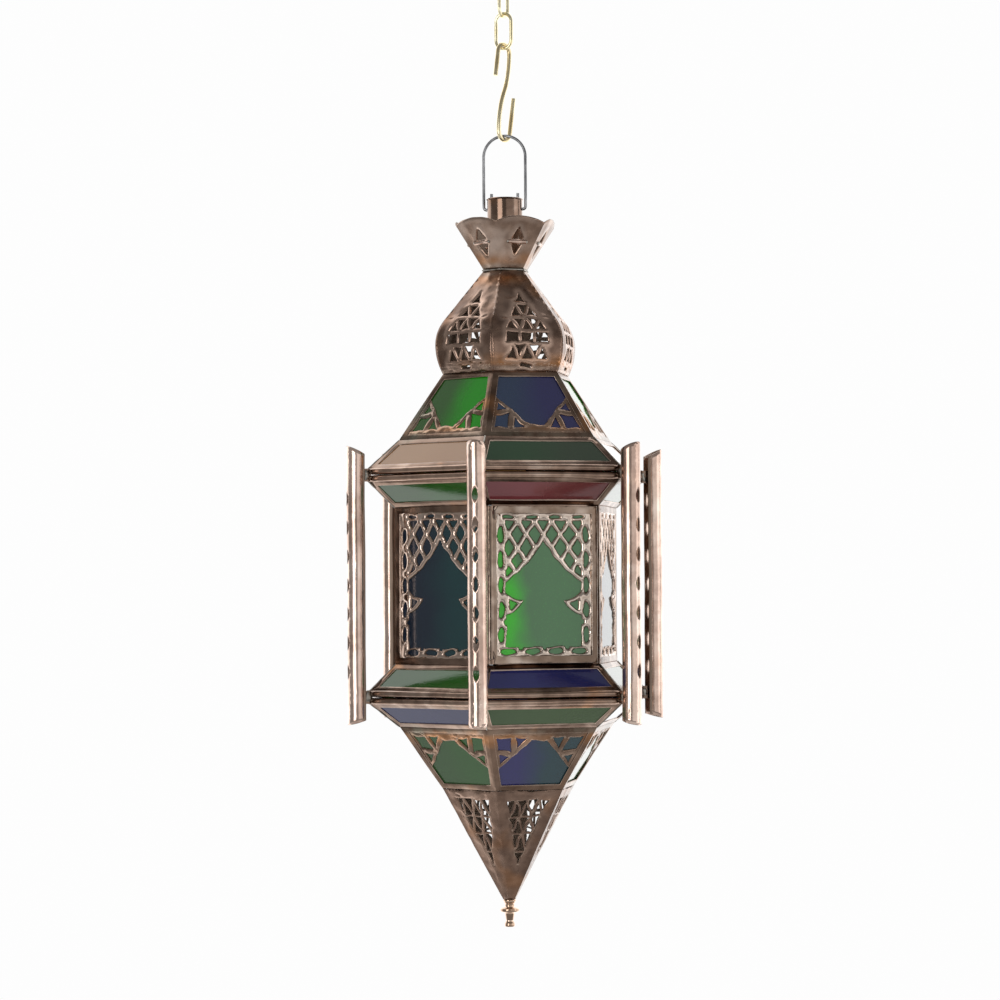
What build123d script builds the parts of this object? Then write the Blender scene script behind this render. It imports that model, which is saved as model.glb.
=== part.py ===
from build123d import *
import math
import os

# A six-sided hanging lantern of copper sheet and coloured glass, in millimetres.
# The origin is the inside top of the upper chain link, where the lantern hangs.
# +Z is up, and the door looks along -Y.

# Brass chain links and S-hook
LINK_WIRE = 3.0
LINK_LENGTH = 33.0
LINK_WIDTH = 17.5
TOP_LINK_TURN = 42.0
LOWER_LINK_TURN = -48.0
HOOK_WIRE = 3.8
HOOK_LENGTH = 85.0
HOOK_BEND = 7.2
HOOK_FLARE_ANGLE = 10.0
HOOK_UPPER_LEG = 22.0
HOOK_LOWER_LEG = 31.0
HOOK_TURN = 30.0
WIRE_GAP = 0.3

# Steel wire bail, whose feet turn in through the neck tube and up inside it
BAIL_WIRE = 2.5
BAIL_LEG_GAP = 0.95
BAIL_RISE = 62.5
BAIL_FOOT_BEND = 2.4
BAIL_TIP_SETBACK = 3.7
BAIL_TIP_RISE = 13.5
BAIL_TURN = -30.0
BAIL_HOLE_CLEARANCE = 0.1

# Neck tube and the plate that it stands on, whose edges lie a margin outside the tube
TUBE_RADIUS = 15.0
TUBE_WALL = 0.8
TUBE_BEAD = 0.8
TUBE_ABOVE_PIVOT = 9.0
TUBE_BELOW_PIVOT = 52.0
NECK_MARGIN = 1.9
PLATE_THICKNESS = 1.0
PLATE_LEDGE = 0.8

# Corner radii of the six-sided rings, from the crown down
CROWN_RADIUS = 44.3
DOME_RADIUS = 63.0
DOME_BASE_RADIUS = 56.6
UPPER_TIER_RADIUS = 95.5
WAIST_RADIUS = 125.0
DRUM_RADIUS = 100.0
LOWER_TIER_RADIUS = 96.7
CONE_RADIUS = 59.3
CONE_TIP_RADIUS = 5.6

# Heights of the rings, from the crown down
CROWN_HEIGHT = 37.0
PETAL_CREST = 5.5
DOME_HEIGHT = 88.0
DOME_BULGE_HEIGHT = 24.0
DOME_SHOULDER = 37.0
UPPER_TIER_HEIGHT = 56.0
UPPER_BELT_HEIGHT = 24.0
UNDER_BELT_HEIGHT = 21.5
DRUM_HEIGHT = 131.5
OVER_BELT_HEIGHT = 21.8
LOWER_BELT_HEIGHT = 20.0
LOWER_TIER_HEIGHT = 52.7
CONE_HEIGHT = 95.6

# Waist rails: two half-round bars with a slot of light between them
RAIL_HEIGHT = 4.6
RAIL_BULGE = 1.9
RAIL_DEPTH = 6.0
RAIL_SLOT = 1.6

# Folded frame bars, the glass and the pierced sheet that they hold
SHEET = 0.8
GRILLE_SHEET = 0.6
GLASS = 2.0
FRAME_LIP = 0.8
FRAME_BAR = 5.0
WINDOW_BAR = 6.0
FRAME_BITE = 1.5
GLASS_EDGE_GAP = 0.2

# Door leaf, its hinge and the pin
DOOR_HINGE_BAR = 4.6
DOOR_FREE_BAR = 5.0
DOOR_RAIL = 6.2
DOOR_LIP = 2.4
DOOR_HINGE_MARGIN = 0.6
DOOR_FREE_MARGIN = 4.0
DOOR_END_MARGIN = 1.2
DOOR_GAP = 0.3
BARREL_RADIUS = 3.0
PIN_RADIUS = 1.0
PIN_CLEARANCE = 0.05
PIN_HEAD_RADIUS = 1.6
PIN_HEAD_HEIGHT = 0.8
LUG_HEIGHT = 4.0
LUG_GAP = 0.3

# Pierced window sheet: border, tent-shaped arch with side cusps, and diamond lattice
GRILLE_SIDE_BORDER = 8.5
GRILLE_LOW_BORDER = 7.5
GRILLE_TOP_BORDER = 6.0
ARCH_APEX_BELOW_TOP = 22.0
ARCH_SPRING_BELOW_TOP = 56.0
ARCH_SAG = 3.0
CUSP_TOP_BELOW_SPRING = 8.5
CUSP_TIP_BELOW_SPRING = 14.5
CUSP_LOW_BELOW_SPRING = 27.5
CUSP_REACH = 15.0
CUSP_SAG = 1.6
CUSP_STRAP = 3.0
SCALLOP_RADIUS = 2.0
BORDER_SLOT_LENGTH = 12.5
BORDER_SLOT_WIDTH = 4.6
BORDER_SLOT_PITCH = 20.5
TOP_SLOT_LENGTH = 9.0
TOP_SLOT_WIDTH = 2.2
TOP_SLOT_BELOW_TOP = 2.6
LATTICE_PITCH = 15.0
LATTICE_ROW = 11.0
LATTICE_STRAP = 4.2
HOLE_ROUNDING = 0.8

# Pierced spandrels of the sloping tiers
SPANDREL_STRIP = 7.5
SPANDREL_RISE = 35.0
SPANDREL_VALLEY = 13.0
SPANDREL_STRAP = 4.4
SPANDREL_BOW = 0.05

# Pierced dome gores, measured up from the dome's base
GORE_SLIT_LEVEL = 4.5
GORE_SLIT_LENGTH = 9.5
GORE_SLIT_WIDTH = 2.4
GORE_FIELD_LOW = 9.0
GORE_FIELD_MIDDLE = 23.0
GORE_FIELD_SHOULDER = 34.0
GORE_FIELD_APEX = 70.0
GORE_FIELD_HALF_WIDTH = 19.5
GORE_STRAP = 2.5
GORE_BOW = 0.06
GORE_COLUMNS = 3
GORE_ROWS = 3

# Pierced crown petals, measured up the slope from the neck
STAR_LEVEL = 25.0
STAR_BAR = 3.6
STAR_HALF_WIDTH = 5.0
STAR_POINT = 10.5

# Pierced cone panels, measured along the slope
CONE_FIELD_BELOW_TOP = 8.5
CONE_FIELD_HALF_WIDTH = 19.5
CONE_FIELD_LENGTH = 67.0
CONE_STRAP = 2.2
CONE_BOW = 0.05
CONE_ROWS = 4

# Turned finial
FINIAL_STEM_RADIUS = 3.6
FINIAL_STEM_LENGTH = 6.0
FINIAL_BALL_RADIUS = 5.4
FINIAL_BALL_HEIGHT = 3.7
FINIAL_NECK_RADIUS = 3.9
FINIAL_NECK_HEIGHT = 3.0
FINIAL_DISC_RADIUS = 7.9
FINIAL_DISC_HEIGHT = 4.7
FINIAL_TAPER_HEIGHT = 6.8
FINIAL_WAIST_RADIUS = 3.1
FINIAL_FOOT_RADIUS = 4.2
FINIAL_FOOT_HEIGHT = 5.2

# Split-tube columns and the stubs that hold them to the waist corners
COLUMN_RADIUS = 8.0
COLUMN_WALL = 0.8
COLUMN_STANDOFF = 0.4
COLUMN_SLIT = 10.8
COLUMN_TOP_REACH = 18.7
COLUMN_FOOT_REACH = 17.2
COLUMN_TOP_DROP = 7.7
COLUMN_FOOT_DROP = 4.5
COLUMN_HOLES = 7
COLUMN_HOLE_PITCH = 24.0
COLUMN_HOLE_LENGTH = 12.0
COLUMN_HOLE_WIDTH = 5.4
STUB_WIDTH = 5.0
STUB_ROOT = 4.0

# Candle tray inside the drum
ARM_LIFT = 0.8
ARM_WIDTH = 10.0
ARM_THICKNESS = 1.5
ARM_UPSTAND = 4.6
ARM_UNDER_TRAY = 25.0
TRAY_RADIUS = 55.0
TRAY_RIM = 6.0
TRAY_THICKNESS = 1.2
CUP_BORE_RADIUS = 11.0
CUP_WALL = 1.2
CUP_BASE = 2.0
CUP_DEPTH = 22.0

# Shape of a regular hexagon
SIDES = 6
TURN = 360 / SIDES
TAN_HALF = math.tan(math.radians(TURN / 2))
COS_HALF = math.cos(math.radians(TURN / 2))
BEYOND = 1.0

# Sizes that follow from the ones above
FRAME_DEPTH = FRAME_LIP + GRILLE_SHEET + GLASS + FRAME_LIP
DOOR_DEPTH = DOOR_LIP + GRILLE_SHEET + GLASS + FRAME_LIP
HELD_MARGIN = FRAME_BITE - GLASS_EDGE_GAP
BAIL_HALF_SPAN = TUBE_RADIUS + TUBE_BEAD + BAIL_LEG_GAP + BAIL_WIRE / 2
NECK_RADIUS = (TUBE_RADIUS + NECK_MARGIN) / COS_HALF
COLUMN_CENTRE = WAIST_RADIUS + COLUMN_STANDOFF + COLUMN_RADIUS
LINK_BEND = (LINK_WIDTH - LINK_WIRE) / 2
TRIM = SHEET + BEYOND

# Levels, from the hanging eye down
TOP_LINK_LOW = LINK_WIRE - LINK_LENGTH
LOWER_LINK_HIGH = TOP_LINK_LOW + 2 * LINK_WIRE + WIRE_GAP
LOWER_LINK_LOW = LOWER_LINK_HIGH - LINK_LENGTH
HOOK_HIGH = LOWER_LINK_LOW + LINK_WIRE + WIRE_GAP + HOOK_WIRE
HOOK_LOW = HOOK_HIGH - HOOK_LENGTH
BAIL_TOP = HOOK_LOW + HOOK_WIRE + WIRE_GAP + BAIL_WIRE / 2
PIVOT_Z = BAIL_TOP - BAIL_RISE
TUBE_TOP = PIVOT_Z + TUBE_ABOVE_PIVOT
PLATE_TOP = PIVOT_Z - TUBE_BELOW_PIVOT
NECK_Z = PLATE_TOP - PLATE_THICKNESS
DOME_BASE_Z = NECK_Z - DOME_HEIGHT
UPPER_TIER_Z = DOME_BASE_Z - UPPER_TIER_HEIGHT
WAIST_HEIGHT = 2 * RAIL_HEIGHT + RAIL_SLOT
UPPER_WAIST_TOP = UPPER_TIER_Z - UPPER_BELT_HEIGHT
UPPER_WAIST_LOW = UPPER_WAIST_TOP - WAIST_HEIGHT
DRUM_TOP = UPPER_WAIST_LOW - UNDER_BELT_HEIGHT
DRUM_LOW = DRUM_TOP - DRUM_HEIGHT
LOWER_WAIST_TOP = DRUM_LOW - OVER_BELT_HEIGHT
LOWER_WAIST_LOW = LOWER_WAIST_TOP - WAIST_HEIGHT
LOWER_TIER_Z = LOWER_WAIST_LOW - LOWER_BELT_HEIGHT
CONE_TOP = LOWER_TIER_Z - LOWER_TIER_HEIGHT
CONE_TIP = CONE_TOP - CONE_HEIGHT

# The belts end behind the bulge of the rails
BELT_EDGE_RADIUS = WAIST_RADIUS - RAIL_BULGE / COS_HALF


def upright(turn):
    """The vertical plane through the lantern's axis, turned about it, with its own y upwards."""
    along = math.radians(turn)
    return Plane(
        origin=(0, 0, 0),
        x_dir=(math.cos(along), math.sin(along), 0),
        z_dir=(math.sin(along), -math.cos(along), 0),
    )


def bent_wire(edges, diameter, turn):
    """Round wire along a path of lines and arcs, drawn in an upright plane."""
    path = Wire(edges)
    section = Plane(origin=path @ 0, z_dir=path % 0) * Circle(diameter / 2)
    return upright(turn) * sweep(section, path=path)


def around(solid, places=range(SIDES)):
    """Copies of one face's piece on the given faces of the hexagon."""
    return [Rot(0, 0, TURN * place) * solid for place in places]


def save(name, solids):
    """Writes one node, as one solid or as a group of separate solids."""
    export_step(Compound(children=list(solids)), f"parts/{name}.step")


def area(points):
    """A flat area inside straight edges."""
    return make_face(Polyline(*points, close=True))


def inset(points, margin):
    """A convex outline, listed anticlockwise, drawn in by one margin on every side."""
    sides = []
    for index, start in enumerate(points):
        end = points[(index + 1) % len(points)]
        length = math.dist(start, end)
        across = (start[1] - end[1]) / length
        upward = (end[0] - start[0]) / length
        sides.append((across, upward, across * start[0] + upward * start[1] + margin))
    corners = []
    for index, (across, upward, level) in enumerate(sides):
        last_across, last_upward, last_level = sides[index - 1]
        scale = last_across * upward - last_upward * across
        x = (last_level * upward - last_upward * level) / scale
        y = (last_across * level - last_level * across) / scale
        corners.append((x, y))
    return corners


def polyhedron(low, high):
    """The solid between two four-cornered outlines whose corners come in the same order."""
    outlines = [low, high]
    for index in range(4):
        after = (index + 1) % 4
        outlines.append([low[index], low[after], high[after], high[index]])
    return Solid(Shell([Face(Wire.make_polygon(outline)) for outline in outlines]))


def wedge(low_z, high_z, reach):
    """The sixth of the lantern behind the face that looks along -Y."""
    half = reach * TAN_HALF
    floor = Pos(0, 0, low_z) * area([(0, 0), (-half, -reach), (half, -reach)])
    return extrude(floor, amount=high_z - low_z)


class Tier:
    """Six equal flat faces between two levels, described by the face that looks along -Y."""

    def __init__(self, low_z, low_radius, high_z, high_radius):
        self.low_z = low_z
        self.high_z = high_z
        self.low_apothem = low_radius * COS_HALF
        self.high_apothem = high_radius * COS_HALF
        self.low_half = self.low_apothem * TAN_HALF
        self.high_half = self.high_apothem * TAN_HALF
        rise = high_z - low_z
        run = self.high_apothem - self.low_apothem
        self.slant = math.hypot(rise, run)
        self.lean = self.slant / rise
        self.plane = Plane(origin=(0, -self.low_apothem, low_z), x_dir=(1, 0, 0), z_dir=(0, -rise, -run))

    def half_width(self, up):
        """Half the face's width at a distance up the slope."""
        return self.low_half + (self.high_half - self.low_half) * up / self.slant

    def outline(self):
        """The face's four corners in its own plane, anticlockwise."""
        return [
            (-self.low_half, 0),
            (self.low_half, 0),
            (self.high_half, self.slant),
            (-self.high_half, self.slant),
        ]

    def slab(self, depth):
        """A plate of the given depth, mitred at the corners of the hexagon and cut level at its ends."""
        rings = []
        for z, outer in ((self.low_z, self.low_apothem), (self.high_z, self.high_apothem)):
            inner = outer - depth * self.lean
            rings.append([
                (-outer * TAN_HALF, -outer, z),
                (outer * TAN_HALF, -outer, z),
                (inner * TAN_HALF, -inner, z),
                (-inner * TAN_HALF, -inner, z),
            ])
        return polyhedron(*rings)

    def layer(self, sketch, start, thickness):
        """A plate of the given outline that starts at a depth behind the outer face."""
        return extrude(self.plane.offset(-start) * sketch, amount=thickness, dir=-self.plane.z_dir)

    def frame(self, bar, groove):
        """A frame of folded bars, open in the middle, with a groove inside for what it holds."""
        opening = area(inset(self.outline(), bar))
        channel = area(inset(self.outline(), bar - FRAME_BITE))
        body = self.slab(FRAME_DEPTH)
        body -= self.layer(opening, -BEYOND, FRAME_DEPTH + 2 * BEYOND)
        body -= self.layer(channel, FRAME_LIP, groove)
        return body

    def held_outline(self, bar):
        """The outline of a pane or sheet that sits in the groove."""
        return inset(self.outline(), bar - FRAME_BITE + GLASS_EDGE_GAP)

    def pane(self, bar, start):
        """A glass pane in the groove."""
        return self.layer(area(self.held_outline(bar)), start, GLASS)


def bowed_area(points, bow):
    """A flat area inside an anticlockwise outline whose sides bow inwards by a share of their length."""
    sides = []
    for index, start in enumerate(points):
        end = points[(index + 1) % len(points)]
        across = end[0] - start[0]
        upward = end[1] - start[1]
        middle = ((start[0] + end[0]) / 2 - upward * bow, (start[1] + end[1]) / 2 + across * bow)
        sides.append(ThreePointArc(start, middle, end))
    return make_face(sides)


def cells(outlines, strap, bow):
    """Holes with bowed sides inside convex outlines, leaving a strap between neighbours."""
    return Sketch() + [bowed_area(inset(outline, strap / 2), bow) for outline in outlines]


def rounded(hole):
    """A hole with its corners rounded."""
    core = offset(hole, -HOLE_ROUNDING, kind=Kind.INTERSECTION)
    return offset(core, HOLE_ROUNDING, kind=Kind.ARC)


def leaf_hole(length, width):
    """A standing hole of two arcs that meet in points."""
    low = (0, -length / 2)
    high = (0, length / 2)
    return make_face([ThreePointArc(low, (width / 2, 0), high), ThreePointArc(high, (-width / 2, 0), low)])


def triangle_mesh(half_width, low, apex, rows):
    """A standing triangle divided into rows of small triangles."""
    def point(row, place):
        share = row / rows
        left = -half_width * (1 - share)
        return (left + 2 * half_width / rows * place, low + (apex - low) * share)

    triangles = []
    for row in range(rows):
        for place in range(rows - row):
            triangles.append([point(row, place), point(row, place + 1), point(row + 1, place)])
            if place > 0:
                triangles.append([point(row, place), point(row + 1, place), point(row + 1, place - 1)])
    return triangles


def zigzag_row(half_width, low, high, count):
    """A level row of triangles that stand on their bases and their points by turns."""
    step = 2 * half_width / count
    triangles = []
    for place in range(count):
        left = -half_width + step * place
        triangles.append([(left, low), (left + step, low), (left + step / 2, high)])
        if place > 0:
            triangles.append([(left, low), (left + step / 2, high), (left - step / 2, high)])
    return triangles


def cusp_edges(half_width, spring):
    """The hollow upper edge and the full lower edge of the thorn on a window's right side."""
    top = (half_width, spring - CUSP_TOP_BELOW_SPRING)
    tip = (half_width - CUSP_REACH, spring - CUSP_TIP_BELOW_SPRING)
    low = (half_width, spring - CUSP_LOW_BELOW_SPRING)
    hollow = ((top[0] + tip[0]) / 2, (top[1] + tip[1]) / 2 - CUSP_SAG)
    full = ((tip[0] + low[0]) / 2 - CUSP_SAG, (tip[1] + low[1]) / 2 - CUSP_SAG)
    return [ThreePointArc(top, hollow, tip), ThreePointArc(tip, full, low)]


def arch_field(half_width, height):
    """The tent-shaped field of a pierced window, with a cusp on each side."""
    apex = (0, height - ARCH_APEX_BELOW_TOP)
    spring = height - ARCH_SPRING_BELOW_TOP
    drop = apex[1] - spring
    length = math.hypot(half_width, drop)
    sag_x = half_width / 2 - ARCH_SAG * drop / length
    sag_y = spring + drop / 2 - ARCH_SAG * half_width / length
    arch_foot = (half_width, spring)
    cusp_top = (half_width, spring - CUSP_TOP_BELOW_SPRING)
    cusp_low = (half_width, spring - CUSP_LOW_BELOW_SPRING)
    field_low = (half_width, GRILLE_LOW_BORDER)
    right = [
        ThreePointArc(apex, (sag_x, sag_y), arch_foot),
        Line(arch_foot, cusp_top),
        *cusp_edges(half_width, spring),
        Line(cusp_low, field_low),
    ]
    left = [mirror(edge, about=Plane.YZ) for edge in right]
    return make_face([*right, *left, Line(field_low, (-half_width, GRILLE_LOW_BORDER))])


def diamond_lattice(half_width, low, high):
    """Staggered diamonds that cover a band of the window."""
    cell_tall = 2 * LATTICE_ROW
    wide = LATTICE_PITCH - LATTICE_STRAP * math.hypot(LATTICE_PITCH, cell_tall) / cell_tall
    tall = wide * cell_tall / LATTICE_PITCH
    diamonds = []
    row_count = math.ceil((high - low) / LATTICE_ROW)
    side_count = math.ceil(half_width / LATTICE_PITCH)
    for row in range(row_count + 1):
        middle = high - LATTICE_ROW * row
        shift = LATTICE_PITCH / 2 * (row % 2)
        for place in range(-side_count, side_count + 1):
            x = LATTICE_PITCH * place + shift
            diamonds.append(area([
                (x - wide / 2, middle),
                (x, middle - tall / 2),
                (x + wide / 2, middle),
                (x, middle + tall / 2),
            ]))
    return Sketch() + diamonds


def border_slots(half_width, height):
    """Long punched holes in the borders, and the places of the scallops between them."""
    holes = []
    scallops = []
    side_count = int((height - BORDER_SLOT_LENGTH) / BORDER_SLOT_PITCH)
    side_x = half_width - GRILLE_SIDE_BORDER / 2
    field_x = half_width - GRILLE_SIDE_BORDER
    middle = height / 2
    cusp_low = height - ARCH_SPRING_BELOW_TOP - CUSP_LOW_BELOW_SPRING
    for place in range(side_count):
        y = middle + BORDER_SLOT_PITCH * (place - (side_count - 1) / 2)
        gap_y = y - BORDER_SLOT_PITCH / 2
        for x in (-side_x, side_x):
            holes.append(Pos(x, y) * Ellipse(BORDER_SLOT_WIDTH / 2, BORDER_SLOT_LENGTH / 2))
        if GRILLE_LOW_BORDER + SCALLOP_RADIUS < gap_y < cusp_low - SCALLOP_RADIUS:
            scallops += [Pos(x, gap_y) * Circle(SCALLOP_RADIUS) for x in (-field_x, field_x)]
    low_count = int(2 * field_x / BORDER_SLOT_PITCH) + 1
    for place in range(low_count):
        x = BORDER_SLOT_PITCH * (place - (low_count - 1) / 2)
        holes.append(Pos(x, GRILLE_LOW_BORDER / 2) * Ellipse(BORDER_SLOT_LENGTH / 2, BORDER_SLOT_WIDTH / 2))
        holes.append(Pos(x, height - TOP_SLOT_BELOW_TOP) * Ellipse(TOP_SLOT_LENGTH / 2, TOP_SLOT_WIDTH / 2))
        if place > 0:
            scallops.append(Pos(x - BORDER_SLOT_PITCH / 2, GRILLE_LOW_BORDER) * Circle(SCALLOP_RADIUS))
    return Sketch() + holes, Sketch() + scallops


def grille(width, height):
    """A pierced window sheet; its own origin is the middle of the lower edge of the frame's opening."""
    half = width / 2
    field_half = half - GRILLE_SIDE_BORDER
    field = arch_field(field_half, height)
    slots, scallops = border_slots(half, height)
    spring = height - ARCH_SPRING_BELOW_TOP
    lattice_high = height - GRILLE_TOP_BORDER
    zone = Pos(0, (spring + lattice_high) / 2) * Rectangle(2 * field_half, lattice_high - spring)
    zone -= offset(field, LATTICE_STRAP)
    lattice = diamond_lattice(field_half, spring, lattice_high) & zone
    hollow_edge, full_edge = cusp_edges(field_half, spring)
    cusp = make_face([hollow_edge, full_edge, Line(full_edge @ 1, hollow_edge @ 0)])
    cusp_hole = offset(cusp, -CUSP_STRAP, kind=Kind.INTERSECTION)
    plate = Pos(0, height / 2) * Rectangle(width + 2 * HELD_MARGIN, height + 2 * HELD_MARGIN)
    plate -= field + scallops
    plate -= slots
    wide_holes = [face for face in lattice.faces() if face.area > HOLE_ROUNDING * face.outer_wire().length]
    plate -= [rounded(face) for face in wide_holes]
    plate -= [cusp_hole, mirror(cusp_hole, about=Plane.YZ)]
    return plate


def spandrel(tier, wide_end_low):
    """A pierced sheet that fills the two corners at a tier's wide end and leaves a V of glass between."""
    slant = tier.slant

    def half_width(level):
        up = level if wide_end_low else slant - level
        return tier.half_width(up)

    def on_face(points):
        if wide_end_low:
            return points
        return [(x, slant - level) for x, level in points]

    edge = FRAME_BAR - FRAME_BITE + GLASS_EDGE_GAP
    side = edge * math.hypot(slant, tier.high_half - tier.low_half) / slant
    opening_side = FRAME_BAR * side / edge
    valley = FRAME_BAR + SPANDREL_STRIP
    peak = FRAME_BAR + SPANDREL_RISE
    right = [
        (half_width(edge) - side, edge),
        (half_width(peak) - side, peak),
        (half_width(peak) - opening_side, peak),
        (SPANDREL_VALLEY / 2, valley),
    ]
    left = [(-x, level) for x, level in reversed(right)]
    plate = area(on_face(right + left))
    foot = (SPANDREL_VALLEY / 2, FRAME_BAR + SPANDREL_STRAP / 2)
    corner = (half_width(FRAME_BAR) - opening_side, FRAME_BAR + SPANDREL_STRAP / 2)
    top = (half_width(peak) - opening_side, peak)
    slope_middle = ((foot[0] + top[0]) / 2, (valley + top[1]) / 2)
    side_middle = ((corner[0] + top[0]) / 2, (corner[1] + top[1]) / 2)
    foot_middle = ((foot[0] + corner[0]) / 2, corner[1])
    outlines = [
        [foot, foot_middle, slope_middle],
        [foot_middle, corner, side_middle, slope_middle],
        [slope_middle, side_middle, top],
    ]
    for outline in outlines:
        points = on_face(inset(outline, SPANDREL_STRAP / 2))
        bow = SPANDREL_BOW if wide_end_low else -SPANDREL_BOW
        hole = bowed_area(points, bow)
        plate -= [hole, mirror(hole, about=Plane.YZ)]
    return plate


def gore_sheet():
    """One curved gore of the onion dome, before it is pierced."""
    base = DOME_BASE_RADIUS * COS_HALF
    widest = DOME_RADIUS * COS_HALF
    neck = NECK_RADIUS * COS_HALF
    widest_z = DOME_BASE_Z + DOME_BULGE_HEIGHT
    flank = ((widest - base) ** 2 + DOME_BULGE_HEIGHT ** 2) / (2 * (widest - base))
    base_angle = -math.asin(DOME_BULGE_HEIGHT / flank)
    low_angle = base_angle - TRIM / flank
    shoulder_y = widest - DOME_SHOULDER
    to_neck = math.hypot(neck - shoulder_y, NECK_Z - widest_z)
    neck_angle = math.atan2(NECK_Z - widest_z, neck - shoulder_y)
    tangent_angle = neck_angle - math.acos(DOME_SHOULDER / to_neck)
    line_length = math.sqrt(to_neck ** 2 - DOME_SHOULDER ** 2) + TRIM

    def curve(depth):
        def flank_point(angle):
            reach = flank - depth
            return (-(widest - flank + reach * math.cos(angle)), widest_z + reach * math.sin(angle))

        def shoulder_point(angle):
            reach = DOME_SHOULDER - depth
            return (-(shoulder_y + reach * math.cos(angle)), widest_z + reach * math.sin(angle))

        last = shoulder_point(tangent_angle)
        end = (
            last[0] + line_length * math.sin(tangent_angle),
            last[1] + line_length * math.cos(tangent_angle),
        )
        return [
            ThreePointArc(flank_point(low_angle), flank_point(low_angle / 2), flank_point(0)),
            ThreePointArc(shoulder_point(0), shoulder_point(tangent_angle / 2), last),
            Line(last, end),
        ]

    outer = curve(0)
    inner = curve(SHEET)
    foot = Line(outer[0] @ 0, inner[0] @ 0)
    top = Line(outer[-1] @ 1, inner[-1] @ 1)
    profile = Plane.YZ * make_face([*outer, *inner, foot, top])
    strip = extrude(profile, amount=DOME_RADIUS, both=True)
    return strip & wedge(DOME_BASE_Z, NECK_Z, 2 * DOME_RADIUS)


def gore():
    """One dome gore with its lattice cut straight through from the front."""
    half = GORE_FIELD_HALF_WIDTH
    outlines = zigzag_row(half, GORE_FIELD_LOW, GORE_FIELD_MIDDLE, GORE_COLUMNS)
    outlines += triangle_mesh(half, GORE_FIELD_SHOULDER, GORE_FIELD_APEX, GORE_ROWS)
    step = 2 * half / GORE_COLUMNS
    for place in range(GORE_COLUMNS):
        left = -half + step * place
        outlines.append([
            (left, GORE_FIELD_MIDDLE),
            (left + step, GORE_FIELD_MIDDLE),
            (left + step, GORE_FIELD_SHOULDER),
            (left, GORE_FIELD_SHOULDER),
        ])
    holes = cells(outlines, GORE_STRAP, GORE_BOW)
    holes += Pos(0, GORE_SLIT_LEVEL) * SlotOverall(GORE_SLIT_LENGTH, GORE_SLIT_WIDTH)
    front = Plane(origin=(0, 0, DOME_BASE_Z), x_dir=(1, 0, 0), z_dir=(0, -1, 0))
    return gore_sheet() - extrude(front * holes, amount=2 * DOME_RADIUS, dir=front.z_dir)


def crown_petal(tier):
    """One flaring petal with a scalloped top, pierced by a split star."""
    below = -TRIM
    right = [(tier.half_width(below), below), (tier.high_half, tier.slant)]
    crest = ThreePointArc(right[1], (0, tier.slant + PETAL_CREST), (-right[1][0], tier.slant))
    edges = [
        Line((-right[0][0], below), right[0]),
        Line(*right),
        crest,
        Line((-right[1][0], tier.slant), (-right[0][0], below)),
    ]
    outline = make_face(edges)
    low_base = STAR_LEVEL - STAR_BAR / 2
    high_base = STAR_LEVEL + STAR_BAR / 2
    for base, point in ((high_base, high_base + STAR_POINT), (low_base, low_base - STAR_POINT)):
        outline -= area([(-STAR_HALF_WIDTH, base), (STAR_HALF_WIDTH, base), (0, point)])
    sheet = tier.layer(outline, 0, SHEET)
    return sheet & wedge(tier.low_z, tier.high_z + 2 * PETAL_CREST, 2 * CROWN_RADIUS)


def cone_panel(tier):
    """One tapering panel of the cone with a lattice of triangles."""
    top = tier.slant - CONE_FIELD_BELOW_TOP
    triangles = triangle_mesh(CONE_FIELD_HALF_WIDTH, 0, CONE_FIELD_LENGTH, CONE_ROWS)
    hanging = [[(x, top - y) for x, y in reversed(triangle)] for triangle in triangles]
    holes = cells(hanging, CONE_STRAP, CONE_BOW)
    return tier.slab(SHEET) - tier.layer(holes, -BEYOND, SHEET + 2 * BEYOND)


def waist_rail(low_z):
    """One half-round rail along one side, mitred at the corners."""
    edge = BELT_EDGE_RADIUS * COS_HALF
    corners = [
        (-edge, low_z + RAIL_HEIGHT),
        (RAIL_DEPTH - edge, low_z + RAIL_HEIGHT),
        (RAIL_DEPTH - edge, low_z),
        (-edge, low_z),
    ]
    nose = ThreePointArc(corners[-1], (-edge - RAIL_BULGE, low_z + RAIL_HEIGHT / 2), corners[0])
    profile = Plane.YZ * make_face([*Polyline(*corners).edges(), nose])
    bar = extrude(profile, amount=WAIST_RADIUS, both=True)
    return bar & wedge(low_z, low_z + RAIL_HEIGHT, 2 * WAIST_RADIUS)


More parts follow.
